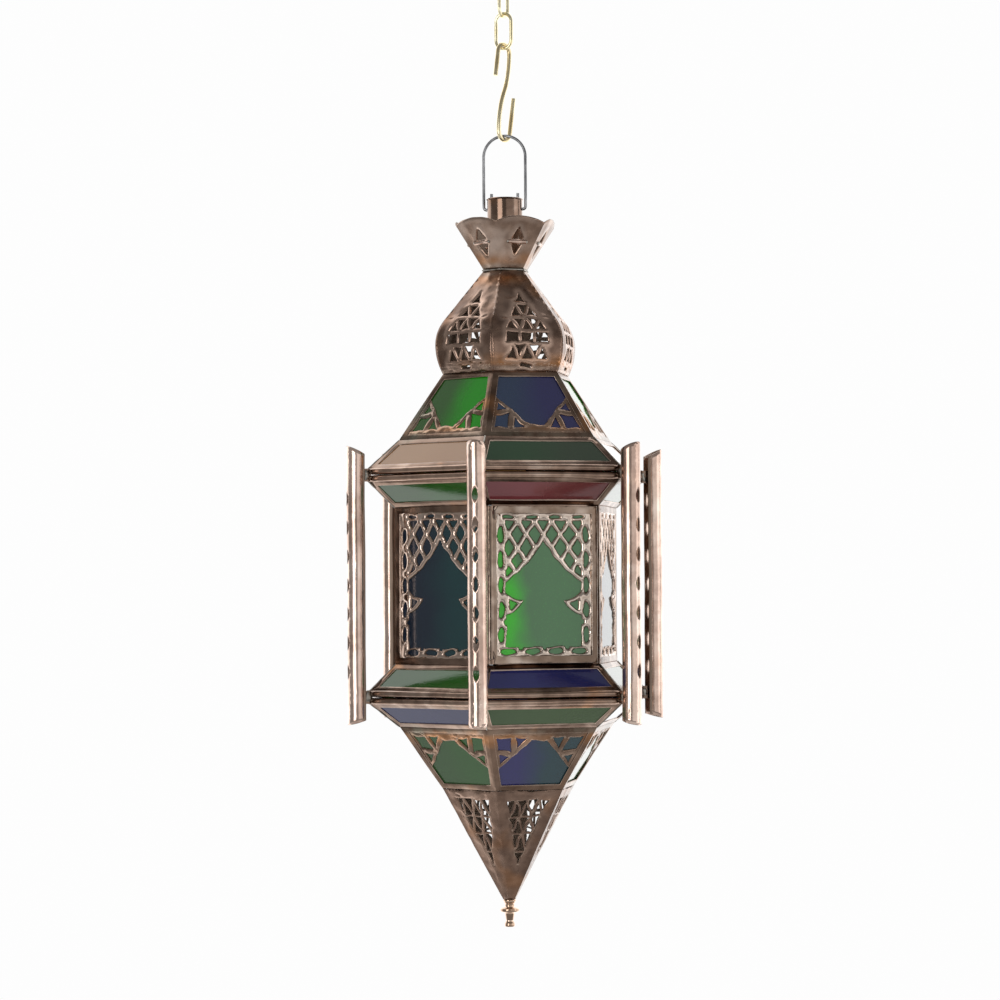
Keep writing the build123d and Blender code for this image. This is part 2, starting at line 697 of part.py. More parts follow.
def column():
    """One split tube at a corner that lies along -Y, its slit towards the axis."""
    top = UPPER_WAIST_TOP + COLUMN_TOP_REACH
    foot = LOWER_WAIST_LOW - COLUMN_FOOT_REACH
    outer_y = -COLUMN_CENTRE - COLUMN_RADIUS
    inner_y = -COLUMN_CENTRE + COLUMN_RADIUS
    ring = Circle(COLUMN_RADIUS) - Circle(COLUMN_RADIUS - COLUMN_WALL)
    ring -= Pos(0, COLUMN_RADIUS) * Rectangle(COLUMN_SLIT, 2 * COLUMN_RADIUS)
    tube = extrude(Pos(0, -COLUMN_CENTRE, foot) * ring, amount=top - foot)
    top_cut = Plane.YZ * area([(outer_y, top), (inner_y, top - COLUMN_TOP_DROP), (inner_y, top)])
    foot_cut = Plane.YZ * area([(outer_y, foot), (inner_y, foot), (inner_y, foot + COLUMN_FOOT_DROP)])
    tube -= extrude(top_cut, amount=2 * COLUMN_RADIUS, both=True)
    tube -= extrude(foot_cut, amount=2 * COLUMN_RADIUS, both=True)
    front = Plane(origin=(0, -COLUMN_CENTRE, (top + foot) / 2), x_dir=(1, 0, 0), z_dir=(0, -1, 0))
    holes = Sketch()
    for place in range(COLUMN_HOLES):
        level = COLUMN_HOLE_PITCH * (place - (COLUMN_HOLES - 1) / 2)
        holes += Pos(0, level) * leaf_hole(COLUMN_HOLE_LENGTH, COLUMN_HOLE_WIDTH)
    return tube - extrude(front * holes, amount=2 * COLUMN_RADIUS, dir=front.z_dir)


def column_stub(low_z, rails, tube):
    """One block from a waist corner along -Y into the column's slit, notched round the rails."""
    near = WAIST_RADIUS - STUB_ROOT
    far = COLUMN_CENTRE + COLUMN_RADIUS - COLUMN_WALL
    middle = Pos(0, -(near + far) / 2, low_z + WAIST_HEIGHT / 2)
    block = middle * Box(STUB_WIDTH, far - near, WAIST_HEIGHT)
    for rail in rails:
        block -= Rot(0, 0, TURN / 2) * rail
        block -= Rot(0, 0, -TURN / 2) * rail
    return block - tube


def turned(points):
    """A solid of revolution about the lantern's axis, from its radius and level along one side."""
    return revolve(Plane.XZ * area(points), axis=Axis.Z)


def chain_link(high, turn):
    """A long link of round wire whose outer top is at the given level."""
    upper = high - LINK_WIDTH / 2
    lower = high - LINK_LENGTH + LINK_WIDTH / 2
    edges = [
        Line((LINK_BEND, lower), (LINK_BEND, upper)),
        ThreePointArc((LINK_BEND, upper), (0, upper + LINK_BEND), (-LINK_BEND, upper)),
        Line((-LINK_BEND, upper), (-LINK_BEND, lower)),
        ThreePointArc((-LINK_BEND, lower), (0, lower - LINK_BEND), (LINK_BEND, lower)),
    ]
    return bent_wire(edges, LINK_WIRE, turn)


os.makedirs("parts", exist_ok=True)

# Chain links
save("top_link", [chain_link(LINK_WIRE, TOP_LINK_TURN)])
save("lower_link", [chain_link(LOWER_LINK_HIGH, LOWER_LINK_TURN)])

# S-hook: two bends joined by a shank of two long arcs that swap sides half way
upper_bend_z = HOOK_HIGH - HOOK_WIRE / 2 - HOOK_BEND
lower_bend_z = HOOK_LOW + HOOK_WIRE / 2 + HOOK_BEND
flare = math.radians(HOOK_FLARE_ANGLE)
leg_x = HOOK_BEND * math.cos(flare)
leg_z = HOOK_BEND * math.sin(flare)
shank_turn = 2 * math.atan2(2 * HOOK_BEND, upper_bend_z - lower_bend_z)
shank_radius = (upper_bend_z - lower_bend_z) / (2 * math.sin(shank_turn))
bulge_x = HOOK_BEND - shank_radius * (1 - math.cos(shank_turn / 2))
bulge_z = shank_radius * math.sin(shank_turn / 2)
upper_leg = (-leg_x, upper_bend_z + leg_z)
upper_tip = (upper_leg[0] - HOOK_UPPER_LEG * math.sin(flare), upper_leg[1] - HOOK_UPPER_LEG * math.cos(flare))
lower_leg = (leg_x, lower_bend_z - leg_z)
lower_tip = (lower_leg[0] + HOOK_LOWER_LEG * math.sin(flare), lower_leg[1] + HOOK_LOWER_LEG * math.cos(flare))
shank_top = (HOOK_BEND, upper_bend_z)
shank_middle = (0, (upper_bend_z + lower_bend_z) / 2)
shank_low = (-HOOK_BEND, lower_bend_z)
hook_edges = [
    Line(upper_tip, upper_leg),
    ThreePointArc(upper_leg, (0, upper_bend_z + HOOK_BEND), shank_top),
    ThreePointArc(shank_top, (bulge_x, upper_bend_z - bulge_z), shank_middle),
    ThreePointArc(shank_middle, (-bulge_x, lower_bend_z + bulge_z), shank_low),
    ThreePointArc(shank_low, (0, lower_bend_z - HOOK_BEND), lower_leg),
    Line(lower_leg, lower_tip),
]
save("s_hook", [bent_wire(hook_edges, HOOK_WIRE, HOOK_TURN)])

# Bail
tip_x = TUBE_RADIUS - BAIL_TIP_SETBACK
arch_z = BAIL_TOP - BAIL_HALF_SPAN
left_foot = FilletPolyline(
    (-tip_x, PIVOT_Z + BAIL_TIP_RISE),
    (-tip_x, PIVOT_Z),
    (-BAIL_HALF_SPAN, PIVOT_Z),
    (-BAIL_HALF_SPAN, arch_z),
    radius=BAIL_FOOT_BEND,
)
right_foot = FilletPolyline(
    (BAIL_HALF_SPAN, arch_z),
    (BAIL_HALF_SPAN, PIVOT_Z),
    (tip_x, PIVOT_Z),
    (tip_x, PIVOT_Z + BAIL_TIP_RISE),
    radius=BAIL_FOOT_BEND,
)
bail_arch = ThreePointArc((-BAIL_HALF_SPAN, arch_z), (0, BAIL_TOP), (BAIL_HALF_SPAN, arch_z))
bail_edges = [*left_foot.edges(), bail_arch, *right_foot.edges()]
save("bail", [bent_wire(bail_edges, BAIL_WIRE, BAIL_TURN)])

# Neck tube with its rolled rim, on the neck plate
tube_bore = TUBE_RADIUS - TUBE_WALL
tube = turned([
    (tube_bore, PLATE_TOP),
    (TUBE_RADIUS, PLATE_TOP),
    (TUBE_RADIUS, TUBE_TOP - 2 * TUBE_BEAD),
    (TUBE_RADIUS + TUBE_BEAD, TUBE_TOP - TUBE_BEAD),
    (TUBE_RADIUS, TUBE_TOP),
    (tube_bore, TUBE_TOP),
])
pivot_axis = Plane(origin=(0, 0, PIVOT_Z), z_dir=upright(BAIL_TURN).x_dir)
tube -= extrude(pivot_axis * Circle(BAIL_WIRE / 2 + BAIL_HOLE_CLEARANCE), amount=2 * TUBE_RADIUS, both=True)
save("neck_tube", [tube])
plate = RegularPolygon(NECK_RADIUS + PLATE_LEDGE, SIDES) - Circle(tube_bore)
save("neck_plate", [extrude(Pos(0, 0, NECK_Z) * plate, amount=PLATE_THICKNESS)])

# Crown and dome
crown = Tier(PLATE_TOP, NECK_RADIUS, PLATE_TOP + CROWN_HEIGHT, CROWN_RADIUS)
save("crown_petals", around(crown_petal(crown)))
save("dome_gores", around(gore()))

# Sloping tiers and belts: frames and panes, with the colour of the even and of the odd faces
EVEN = range(0, SIDES, 2)
ODD = range(1, SIDES, 2)
behind_sheet = FRAME_LIP + GRILLE_SHEET
upper_tier = Tier(UPPER_TIER_Z, UPPER_TIER_RADIUS, DOME_BASE_Z, DOME_BASE_RADIUS)
upper_belt = Tier(UPPER_WAIST_TOP, BELT_EDGE_RADIUS, UPPER_TIER_Z, UPPER_TIER_RADIUS)
under_belt = Tier(DRUM_TOP, DRUM_RADIUS, UPPER_WAIST_LOW, BELT_EDGE_RADIUS)
over_belt = Tier(LOWER_WAIST_TOP, BELT_EDGE_RADIUS, DRUM_LOW, DRUM_RADIUS)
lower_belt = Tier(LOWER_TIER_Z, LOWER_TIER_RADIUS, LOWER_WAIST_LOW, BELT_EDGE_RADIUS)
lower_tier = Tier(CONE_TOP, CONE_RADIUS, LOWER_TIER_Z, LOWER_TIER_RADIUS)
tiers = [
    ("upper_tier", upper_tier, behind_sheet, "blue", "green"),
    ("upper_belt", upper_belt, FRAME_LIP, "green", "amber"),
    ("under_belt", under_belt, FRAME_LIP, "red", "green"),
    ("over_belt", over_belt, FRAME_LIP, "blue", "green"),
    ("lower_belt", lower_belt, FRAME_LIP, "green", "blue"),
    ("lower_tier", lower_tier, behind_sheet, "blue", "green"),
]
for name, tier, glass_start, even_colour, odd_colour in tiers:
    pane = tier.pane(FRAME_BAR, glass_start)
    save(f"{name}_frames", around(tier.frame(FRAME_BAR, glass_start + GLASS - FRAME_LIP)))
    save(f"{name}_{even_colour}_glass", around(pane, EVEN))
    save(f"{name}_{odd_colour}_glass", around(pane, ODD))
upper_spandrel = upper_tier.layer(spandrel(upper_tier, True), FRAME_LIP, GRILLE_SHEET)
lower_spandrel = lower_tier.layer(spandrel(lower_tier, False), FRAME_LIP, GRILLE_SHEET)
save("upper_tier_spandrels", around(upper_spandrel))
save("lower_tier_spandrels", around(lower_spandrel))

# Drum: five fixed windows
drum = Tier(DRUM_LOW, DRUM_RADIUS, DRUM_TOP, DRUM_RADIUS)
fixed = range(1, SIDES)
window_width = DRUM_RADIUS - 2 * WINDOW_BAR
window_height = DRUM_HEIGHT - 2 * WINDOW_BAR
window_grille = Pos(0, WINDOW_BAR) * grille(window_width, window_height)
window_pane = drum.pane(WINDOW_BAR, behind_sheet)
save("window_frames", around(drum.frame(WINDOW_BAR, GRILLE_SHEET + GLASS), fixed))
save("window_grilles", around(drum.layer(window_grille, FRAME_LIP, GRILLE_SHEET), fixed))
save("window_green_glass", around(window_pane, EVEN[1:]))
save("window_blue_glass", around(window_pane, ODD))

# Door surround: four bars round the doorway
doorway_half = DRUM_RADIUS / 2 - WINDOW_BAR
drum_slab = drum.slab(FRAME_DEPTH)
drum_middle_z = (DRUM_LOW + DRUM_TOP) / 2
stile_x = (DRUM_RADIUS / 2 + doorway_half) / 2
stile = Box(WINDOW_BAR, 2 * DRUM_RADIUS, DRUM_HEIGHT)
doorway_rail = Box(2 * doorway_half, 2 * DRUM_RADIUS, WINDOW_BAR)
surround = [drum_slab & (Pos(x, -DRUM_RADIUS, drum_middle_z) * stile) for x in (-stile_x, stile_x)]
for z in (DRUM_LOW + WINDOW_BAR / 2, DRUM_TOP - WINDOW_BAR / 2):
    surround.append(drum_slab & (Pos(0, -DRUM_RADIUS, z) * doorway_rail))
save("door_surround", surround)

# Door leaf: a framed sheet and pane, with a hinge barrel along its left edge
leaf_back = drum.low_apothem + DOOR_GAP
leaf_front = leaf_back + DOOR_DEPTH
leaf_right = DRUM_RADIUS / 2 - DOOR_FREE_MARGIN
hinge_x = DOOR_HINGE_MARGIN + BARREL_RADIUS - DRUM_RADIUS / 2
hinge_y = -drum.low_apothem - DOOR_GAP - BARREL_RADIUS
leaf_low = DRUM_LOW + DOOR_END_MARGIN
leaf_height = DRUM_HEIGHT - 2 * DOOR_END_MARGIN
leaf_width = leaf_right - hinge_x
leaf_middle = (leaf_right + hinge_x) / 2
leaf_plane = Plane(origin=(leaf_middle, -leaf_front, leaf_low), x_dir=(1, 0, 0), z_dir=(0, -1, 0))
opening_width = leaf_width - DOOR_HINGE_BAR - DOOR_FREE_BAR
opening_height = leaf_height - 2 * DOOR_RAIL
opening_middle = (DOOR_HINGE_BAR - DOOR_FREE_BAR) / 2


def leaf_layer(sketch, start, thickness):
    """A plate in the door leaf that starts at a depth behind its front."""
    return extrude(leaf_plane.offset(-start) * sketch, amount=thickness, dir=-leaf_plane.z_dir)


def leaf_opening(growth):
    """The opening between the leaf's bars, grown on every side."""
    grown = Rectangle(opening_width + 2 * growth, opening_height + 2 * growth)
    return Pos(opening_middle, leaf_height / 2) * grown


def hinge_post(radius, low_z, height):
    """A round post on the hinge's axis."""
    return extrude(Pos(hinge_x, hinge_y, low_z) * Circle(radius), amount=height)


lug_levels = (leaf_low, leaf_low + leaf_height - LUG_HEIGHT)
barrel_low = leaf_low + LUG_HEIGHT + LUG_GAP
barrel_height = leaf_height - 2 * (LUG_HEIGHT + LUG_GAP)
leaf = leaf_layer(Pos(0, leaf_height / 2) * Rectangle(leaf_width, leaf_height), 0, DOOR_DEPTH)
leaf -= leaf_layer(leaf_opening(0), -BEYOND, DOOR_DEPTH + 2 * BEYOND)
leaf -= leaf_layer(leaf_opening(FRAME_BITE), DOOR_LIP, GRILLE_SHEET + GLASS)
for level in lug_levels:
    leaf -= hinge_post(BARREL_RADIUS + LUG_GAP, level - LUG_GAP, LUG_HEIGHT + 2 * LUG_GAP)
leaf += hinge_post(BARREL_RADIUS, barrel_low, barrel_height)
leaf -= hinge_post(PIN_RADIUS + PIN_CLEARANCE, leaf_low - BEYOND, leaf_height + 2 * BEYOND)
save("door_frame", [leaf])
door_grille = Pos(opening_middle, DOOR_RAIL) * grille(opening_width, opening_height)
save("door_grille", [leaf_layer(door_grille, DOOR_LIP, GRILLE_SHEET)])
save("door_glass", [leaf_layer(leaf_opening(HELD_MARGIN), DOOR_LIP + GRILLE_SHEET, GLASS)])

# Hinge lugs on the surround, and the pin through them
lugs = []
lug_reach = BARREL_RADIUS + DOOR_GAP
for level in lug_levels:
    lug = hinge_post(BARREL_RADIUS, level, LUG_HEIGHT)
    web = Box(BARREL_RADIUS, lug_reach, LUG_HEIGHT)
    lug += Pos(hinge_x - BARREL_RADIUS / 2, hinge_y + lug_reach / 2, level + LUG_HEIGHT / 2) * web
    lugs.append(lug - hinge_post(PIN_RADIUS + PIN_CLEARANCE, level - BEYOND, LUG_HEIGHT + 2 * BEYOND))
save("hinge_lugs", lugs)
pin = hinge_post(PIN_RADIUS, leaf_low, leaf_height)
for level in (leaf_low - PIN_HEAD_HEIGHT, leaf_low + leaf_height):
    pin += hinge_post(PIN_HEAD_RADIUS, level, PIN_HEAD_HEIGHT)
save("hinge_pin", [pin])

# Waist rails, columns and the stubs between them
tube_column = column()
stubs = []
for name, low_z in (("upper_waist_rails", UPPER_WAIST_LOW), ("lower_waist_rails", LOWER_WAIST_LOW)):
    rails = [waist_rail(low_z), waist_rail(low_z + RAIL_HEIGHT + RAIL_SLOT)]
    save(name, around(rails[0]) + around(rails[1]))
    stubs += around(Rot(0, 0, TURN / 2) * column_stub(low_z, rails, tube_column))
save("columns", around(Rot(0, 0, TURN / 2) * tube_column))
save("column_stubs", stubs)

# Cone and finial
save("cone_panels", around(cone_panel(Tier(CONE_TIP, CONE_TIP_RADIUS, CONE_TOP, CONE_RADIUS))))
ball_low = CONE_TIP - FINIAL_BALL_HEIGHT
neck_low = ball_low - FINIAL_NECK_HEIGHT
disc_low = neck_low - FINIAL_DISC_HEIGHT
taper_low = disc_low - FINIAL_TAPER_HEIGHT
foot_low = taper_low - FINIAL_FOOT_HEIGHT
disc_edge = FINIAL_DISC_HEIGHT / 5
finial = turned([
    (0, CONE_TIP + FINIAL_STEM_LENGTH),
    (0, foot_low),
    (FINIAL_FOOT_RADIUS, foot_low),
    (FINIAL_FOOT_RADIUS, foot_low + FINIAL_FOOT_HEIGHT / 2),
    (FINIAL_WAIST_RADIUS, taper_low),
    (FINIAL_FOOT_RADIUS, disc_low),
    (FINIAL_DISC_RADIUS, disc_low + disc_edge),
    (FINIAL_DISC_RADIUS, neck_low - disc_edge),
    (FINIAL_NECK_RADIUS, neck_low),
    (FINIAL_NECK_RADIUS, ball_low),
    (FINIAL_BALL_RADIUS, ball_low + FINIAL_BALL_HEIGHT / 2),
    (FINIAL_BALL_RADIUS, CONE_TIP),
    (FINIAL_STEM_RADIUS, CONE_TIP),
    (FINIAL_STEM_RADIUS, CONE_TIP + FINIAL_STEM_LENGTH),
])
save("finial", [finial])

# Candle tray on three bent arms, with its cup
wall_y = FRAME_DEPTH - drum.low_apothem
arm_low = DRUM_LOW + ARM_LIFT
arm_top = arm_low + ARM_THICKNESS
arm_end = ARM_UNDER_TRAY - TRAY_RADIUS
arm_profile = Plane.YZ * area([
    (wall_y, arm_low),
    (arm_end, arm_low),
    (arm_end, arm_top),
    (wall_y + ARM_THICKNESS, arm_top),
    (wall_y + ARM_THICKNESS, arm_low + ARM_UPSTAND),
    (wall_y, arm_low + ARM_UPSTAND),
])
save("tray_arms", around(extrude(arm_profile, amount=ARM_WIDTH / 2, both=True), ODD))
tray_top = arm_top + TRAY_THICKNESS
tray = turned([
    (0, arm_top),
    (TRAY_RADIUS, arm_top),
    (TRAY_RADIUS, tray_top + TRAY_RIM),
    (TRAY_RADIUS - TRAY_THICKNESS, tray_top + TRAY_RIM),
    (TRAY_RADIUS - TRAY_THICKNESS, tray_top),
    (0, tray_top),
])
save("candle_tray", [tray])
cup_floor = tray_top + CUP_BASE
cup = turned([
    (0, tray_top),
    (CUP_BORE_RADIUS + CUP_WALL, tray_top),
    (CUP_BORE_RADIUS + CUP_WALL, cup_floor + CUP_DEPTH),
    (CUP_BORE_RADIUS, cup_floor + CUP_DEPTH),
    (CUP_BORE_RADIUS, cup_floor),
    (0, cup_floor),
])
save("candle_cup", [cup])

print(f"bail pivot {PIVOT_Z:.3f}, door hinge {hinge_x:.3f} {hinge_y:.3f}, cup floor {cup_floor:.3f}")
print(f"wire centres: lower link {LOWER_LINK_LOW + LINK_WIRE / 2:.3f}, hook {HOOK_LOW + HOOK_WIRE / 2:.3f}")
print(f"drum {DRUM_LOW:.3f} to {DRUM_TOP:.3f}, tube top {TUBE_TOP:.3f}, finial foot {foot_low:.3f}")
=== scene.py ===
import math

import bmesh
import bpy
from mathutils import Matrix, Vector, kdtree, noise


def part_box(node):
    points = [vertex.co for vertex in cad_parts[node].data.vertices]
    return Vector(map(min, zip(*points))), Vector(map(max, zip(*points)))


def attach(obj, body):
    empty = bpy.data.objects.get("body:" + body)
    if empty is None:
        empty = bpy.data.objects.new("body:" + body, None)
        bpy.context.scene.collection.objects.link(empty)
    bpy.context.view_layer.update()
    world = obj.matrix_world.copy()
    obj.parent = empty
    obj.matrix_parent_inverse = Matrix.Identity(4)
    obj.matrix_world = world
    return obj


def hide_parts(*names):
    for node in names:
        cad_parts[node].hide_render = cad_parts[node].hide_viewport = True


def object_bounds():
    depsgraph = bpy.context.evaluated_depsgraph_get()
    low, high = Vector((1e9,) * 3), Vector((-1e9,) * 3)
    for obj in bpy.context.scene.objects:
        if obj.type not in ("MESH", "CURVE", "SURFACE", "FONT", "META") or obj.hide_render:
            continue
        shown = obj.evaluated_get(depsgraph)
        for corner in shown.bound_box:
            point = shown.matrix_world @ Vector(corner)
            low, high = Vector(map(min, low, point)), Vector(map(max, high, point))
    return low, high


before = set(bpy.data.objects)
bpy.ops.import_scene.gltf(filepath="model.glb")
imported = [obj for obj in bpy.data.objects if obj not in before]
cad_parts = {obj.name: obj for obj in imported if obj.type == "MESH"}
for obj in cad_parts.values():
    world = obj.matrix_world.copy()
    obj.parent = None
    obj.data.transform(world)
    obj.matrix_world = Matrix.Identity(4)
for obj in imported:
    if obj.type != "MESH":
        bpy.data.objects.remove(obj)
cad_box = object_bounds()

# Window frames and door surround
# Copper strip folded to a flat bar, mitred and soldered into the six sides of the drum.
# The folds leave round edges that are rubbed brighter than the brown faces.
BAR_ROUNDING = 0.0007
MERGE_DISTANCE = 0.00002
SHARP_FOLD = math.radians(48)
FOLD_ANGLE = math.radians(25)
FLAT_ANGLE = math.radians(1)
OUTWARD_FACE = 0.45
LONGEST_EDGE = 0.009
MOST_DIVISIONS = 6
WAVE_SIZE = 0.045
WAVE_DEPTH = 0.0004
DENT_SIZE = 0.007
DENT_DEPTH = 0.00007
NOISE_SEED = 1
BAR_COPPER = {
    "dark": (0.13, 0.082, 0.06, 1),
    "mid": (0.30, 0.205, 0.155, 1),
    "bright": (0.82, 0.64, 0.53, 1),
    "satin": 0.15,
    "shine": 0.35,
    "tarnish": 0.45,
}
HEAT_ORANGE = (0.46, 0.20, 0.07, 1)
FLUX_GREY = (0.26, 0.26, 0.20, 1)
RAW_BROWN = (0.34, 0.25, 0.19, 1)

# Clouds to the metre of patina, wear, stain and dents, and the noise at which each begins and is full
BROAD_CLOUDS = 13
BROAD_SHARE = 0.6
FINE_CLOUDS = 85
PATINA_EDGE = (0.36, 0.62)
RUBBED_CLOUDS = 31
RUBBED_EDGE = (0.50, 0.74)
HEAT_CLOUDS = 23
HEAT_EDGE = (0.58, 0.74)
FLUX_CLOUDS = 17
FLUX_EDGE = (0.57, 0.72)
DENT_CLOUDS = 90
GRAIN_CLOUDS = 600
GRAIN_SHARE = 0.08

# Flux and scorch marks on either side of a soldered seam
STAIN_REACH = 0.007
FLUX_CORE = 0.0014
FLUX_BREAKS = (0.38, 0.58)
FLUX_STRENGTH = 0.25
SCORCH_START = 0.0028
SCORCH_END = 0.0175
SCORCH_BREAKS = (0.38, 0.60)
SCORCH_STRENGTH = 0.85

# What wear, polish and a raw inner face do to the metal
WEAR_STRENGTH = 0.75
ROUGHNESS_SPREAD = 0.14
POLISH_GAIN = 0.08
RAW_SHARE = 0.85
RAW_ROUGHNESS = 0.425
PLAIN_HAMMER = 0.2
HAMMER_DEPTH = 0.001


class Shade:
    """A socket in a node tree, on which plain sums and products add their maths nodes."""

    def __init__(self, tree, socket=None):
        self.tree = tree
        self.socket = socket

    def node(self, kind, settings, sockets, output=0):
        """Adds a node with its settings and the values or links of its sockets; gives one output."""
        made = self.tree.nodes.new(kind)
        for name, value in settings.items():
            setattr(made, name, value)
        for name, value in sockets.items():
            if isinstance(value, Shade):
                self.tree.links.new(value.socket, made.inputs[name])
            else:
                made.inputs[name].default_value = value
        return Shade(self.tree, made.outputs[output])

    def maths(self, operation, first, second):
        return self.node("ShaderNodeMath", {"operation": operation}, {0: first, 1: second})

    def __add__(self, other):
        return self.maths("ADD", self, other)

    __radd__ = __add__

    def __sub__(self, other):
        return self.maths("SUBTRACT", self, other)

    def __rsub__(self, other):
        return self.maths("SUBTRACT", other, self)

    def __mul__(self, other):
        return self.maths("MULTIPLY", self, other)

    __rmul__ = __mul__

    def between(self, low, high):
        """A smooth step from 0 at low to 1 at high."""
        settings = {"interpolation_type": "SMOOTHSTEP"}
        values = {"Value": self, "From Min": low, "From Max": high}
        return self.node("ShaderNodeMapRange", settings, values)

    def cloud(self, scale, detail=3.0, roughness=0.55):
        """Soft noise on a vector socket."""
        values = {"Vector": self, "Scale": scale, "Detail": detail, "Roughness": roughness}
        return self.node("ShaderNodeTexNoise", {}, values)

    def tint(self, below, above):
        """A colour that goes from below, where this mask is 0, to above, where it is 1."""
        settings = {"data_type": "RGBA", "clamp_factor": True}
        return self.node("ShaderNodeMix", settings, {0: self, 6: below, 7: above}, 2)

    def bump(self, strength, distance):
        values = {"Height": self, "Strength": strength, "Distance": distance}
        return self.node("ShaderNodeBump", {}, values)


def new_finish(name):
    """A new material; gives it, the inputs of its shader and its object coordinates."""
    finish = bpy.data.materials.new(name)
    finish.use_nodes = True
    tree = finish.node_tree
    place = Shade(tree).node("ShaderNodeTexCoord", {}, {}, "Object")
    return finish, tree.nodes["Principled BSDF"].inputs, place


def feed(inputs, **values):
    """Links or sets the shader's inputs, named with _ for a space."""
    for name, value in values.items():
        target = inputs[name.replace("_", " ")]
        if isinstance(value, Shade):
            value.tree.links.new(value.socket, target)
        else:
            target.default_value = value


def copper(name, dark, mid, bright, satin, shine, tarnish, seams=(), hammer=PLAIN_HAMMER):
    """Aged copper: brown patina, rubbed patches and edges, and stains along soldered seams."""
    finish, inputs, place = new_finish(name)
    broad = place.cloud(BROAD_CLOUDS)
    fine = place.cloud(FINE_CLOUDS, detail=4, roughness=0.6)
    rubbed_patch = place.cloud(RUBBED_CLOUDS, detail=2).between(*RUBBED_EDGE)
    worn_edge = place.node("ShaderNodeAttribute", {"attribute_name": "worn"}, {}, 2)
    inside = place.node("ShaderNodeAttribute", {"attribute_name": "inside"}, {}, 2)
    patina = (broad * BROAD_SHARE + fine * (1 - BROAD_SHARE)).between(*PATINA_EDGE)
    colour = patina.tint(dark, mid)
    heat = place.cloud(HEAT_CLOUDS, detail=2).between(*HEAT_EDGE) * tarnish
    flux = place.cloud(FLUX_CLOUDS).between(*FLUX_EDGE) * tarnish
    height = place.node("ShaderNodeSeparateXYZ", {}, {"Vector": place}, "Z")
    for level in seams:
        away = height.maths("ABSOLUTE", height - level, 0)
        residue = 1 - away.between(FLUX_CORE, STAIN_REACH)
        flux = flux.maths("MAXIMUM", flux, residue * fine.between(*FLUX_BREAKS) * FLUX_STRENGTH)
        scorch = away.between(SCORCH_START, STAIN_REACH) - away.between(STAIN_REACH, SCORCH_END)
        heat = heat.maths("MAXIMUM", heat, scorch * broad.between(*SCORCH_BREAKS) * SCORCH_STRENGTH)
    colour = heat.tint(colour, HEAT_ORANGE)
    colour = flux.tint(colour, FLUX_GREY)
    rubbed = rubbed_patch * shine + worn_edge * WEAR_STRENGTH
    polish = rubbed.maths("MINIMUM", rubbed, 1.0)
    colour = inside.tint(polish.tint(colour, bright), RAW_BROWN)
    dents = place.cloud(DENT_CLOUDS, detail=2) + place.cloud(GRAIN_CLOUDS, detail=2) * GRAIN_SHARE
    feed(
        inputs,
        Base_Color=colour,
        Metallic=1 - inside * RAW_SHARE,
        Roughness=fine * ROUGHNESS_SPREAD + satin - polish * POLISH_GAIN + inside * RAW_ROUGHNESS,
        Normal=dents.bump(hammer, HAMMER_DEPTH),
    )
    return finish


def joined(node):
    """A bmesh copy of a CAD node with its loose triangles merged."""
    shape = bmesh.new()
    shape.from_mesh(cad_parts[node].data)
    bmesh.ops.remove_doubles(shape, verts=shape.verts, dist=MERGE_DISTANCE)
    return shape


def outward(face):
    """How far a face looks away from the lantern's axis, from -1 to 1."""
    middle = face.calc_center_median()
    return face.normal.dot(Vector((middle.x, middle.y, 0)).normalized())


def shorten_edges(shape, longest):
    """Divides long edges until none is longer than asked for."""
    for _ in range(MOST_DIVISIONS):
        long_edges = [edge for edge in shape.edges if edge.calc_length() > longest]
        if not long_edges:
            break
        bmesh.ops.subdivide_edges(shape, edges=long_edges, cuts=1)
        bmesh.ops.triangulate(shape, faces=[face for face in shape.faces if len(face.verts) > 4])


def hand_bend(shape, dent=DENT_DEPTH):
    """The slow waves and small dents of sheet that was cut and bent by hand."""
    for vert in shape.verts:
        slow = noise.noise_vector(vert.co / WAVE_SIZE)
        quick = noise.noise_vector(vert.co / DENT_SIZE)
        vert.co += slow * WAVE_DEPTH + quick * dent


def dress(name, shape, finish, body, slot, *nodes):
    """Makes a bmesh a smooth-shaded piece that rides a body and stands for CAD nodes."""
    for face in shape.faces:
        face.smooth = True
    mesh = bpy.data.meshes.new(name)
    shape.to_mesh(mesh)
    shape.free()
    mesh.set_sharp_from_angle(angle=SHARP_FOLD)
    mesh.materials.append(finish)
    piece = bpy.data.objects.new(name, mesh)
    bpy.context.scene.collection.objects.link(piece)
    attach(piece, body)
    if nodes:
        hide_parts(*nodes)


def rounded(shape, edges, rounding):
    """Rounds edges of a bmesh and marks the roundings as worn."""
    worn = shape.verts.layers.float.new("worn")
    made = bmesh.ops.bevel(
        shape,
        geom=edges,
        offset=rounding,
        offset_type="OFFSET",
        affect="EDGES",
        segments=3,
        profile=0.5,
        material=-1,
        clamp_overlap=True,
    )
    roundings = set(made["faces"])
    for vert in made["verts"]:
        if roundings.issuperset(vert.link_faces):
            vert[worn] = 1.0
    bmesh.ops.triangulate(shape, faces=shape.faces)


def whole_faces(node):
    """A copy of a node whose flat faces are whole again, and its folds."""
    shape = joined(node)
    bmesh.ops.dissolve_limit(shape, angle_limit=FLAT_ANGLE, verts=shape.verts, edges=shape.edges)
    return shape, [edge for edge in shape.edges if edge.calc_face_angle(0) > FOLD_ANGLE]


def folded(node):
    """A copy of a node of flat bars with its outer edges rounded and worn, and hand bent."""
    shape, folds = whole_faces(node)
    fronts = [face for face in shape.faces if outward(face) > OUTWARD_FACE]
    front_edges = {edge for face in fronts for edge in face.edges}
    rounded(shape, [edge for edge in folds if edge in front_edges], BAR_ROUNDING)
    shorten_edges(shape, LONGEST_EDGE)
    hand_bend(shape)
    return shape


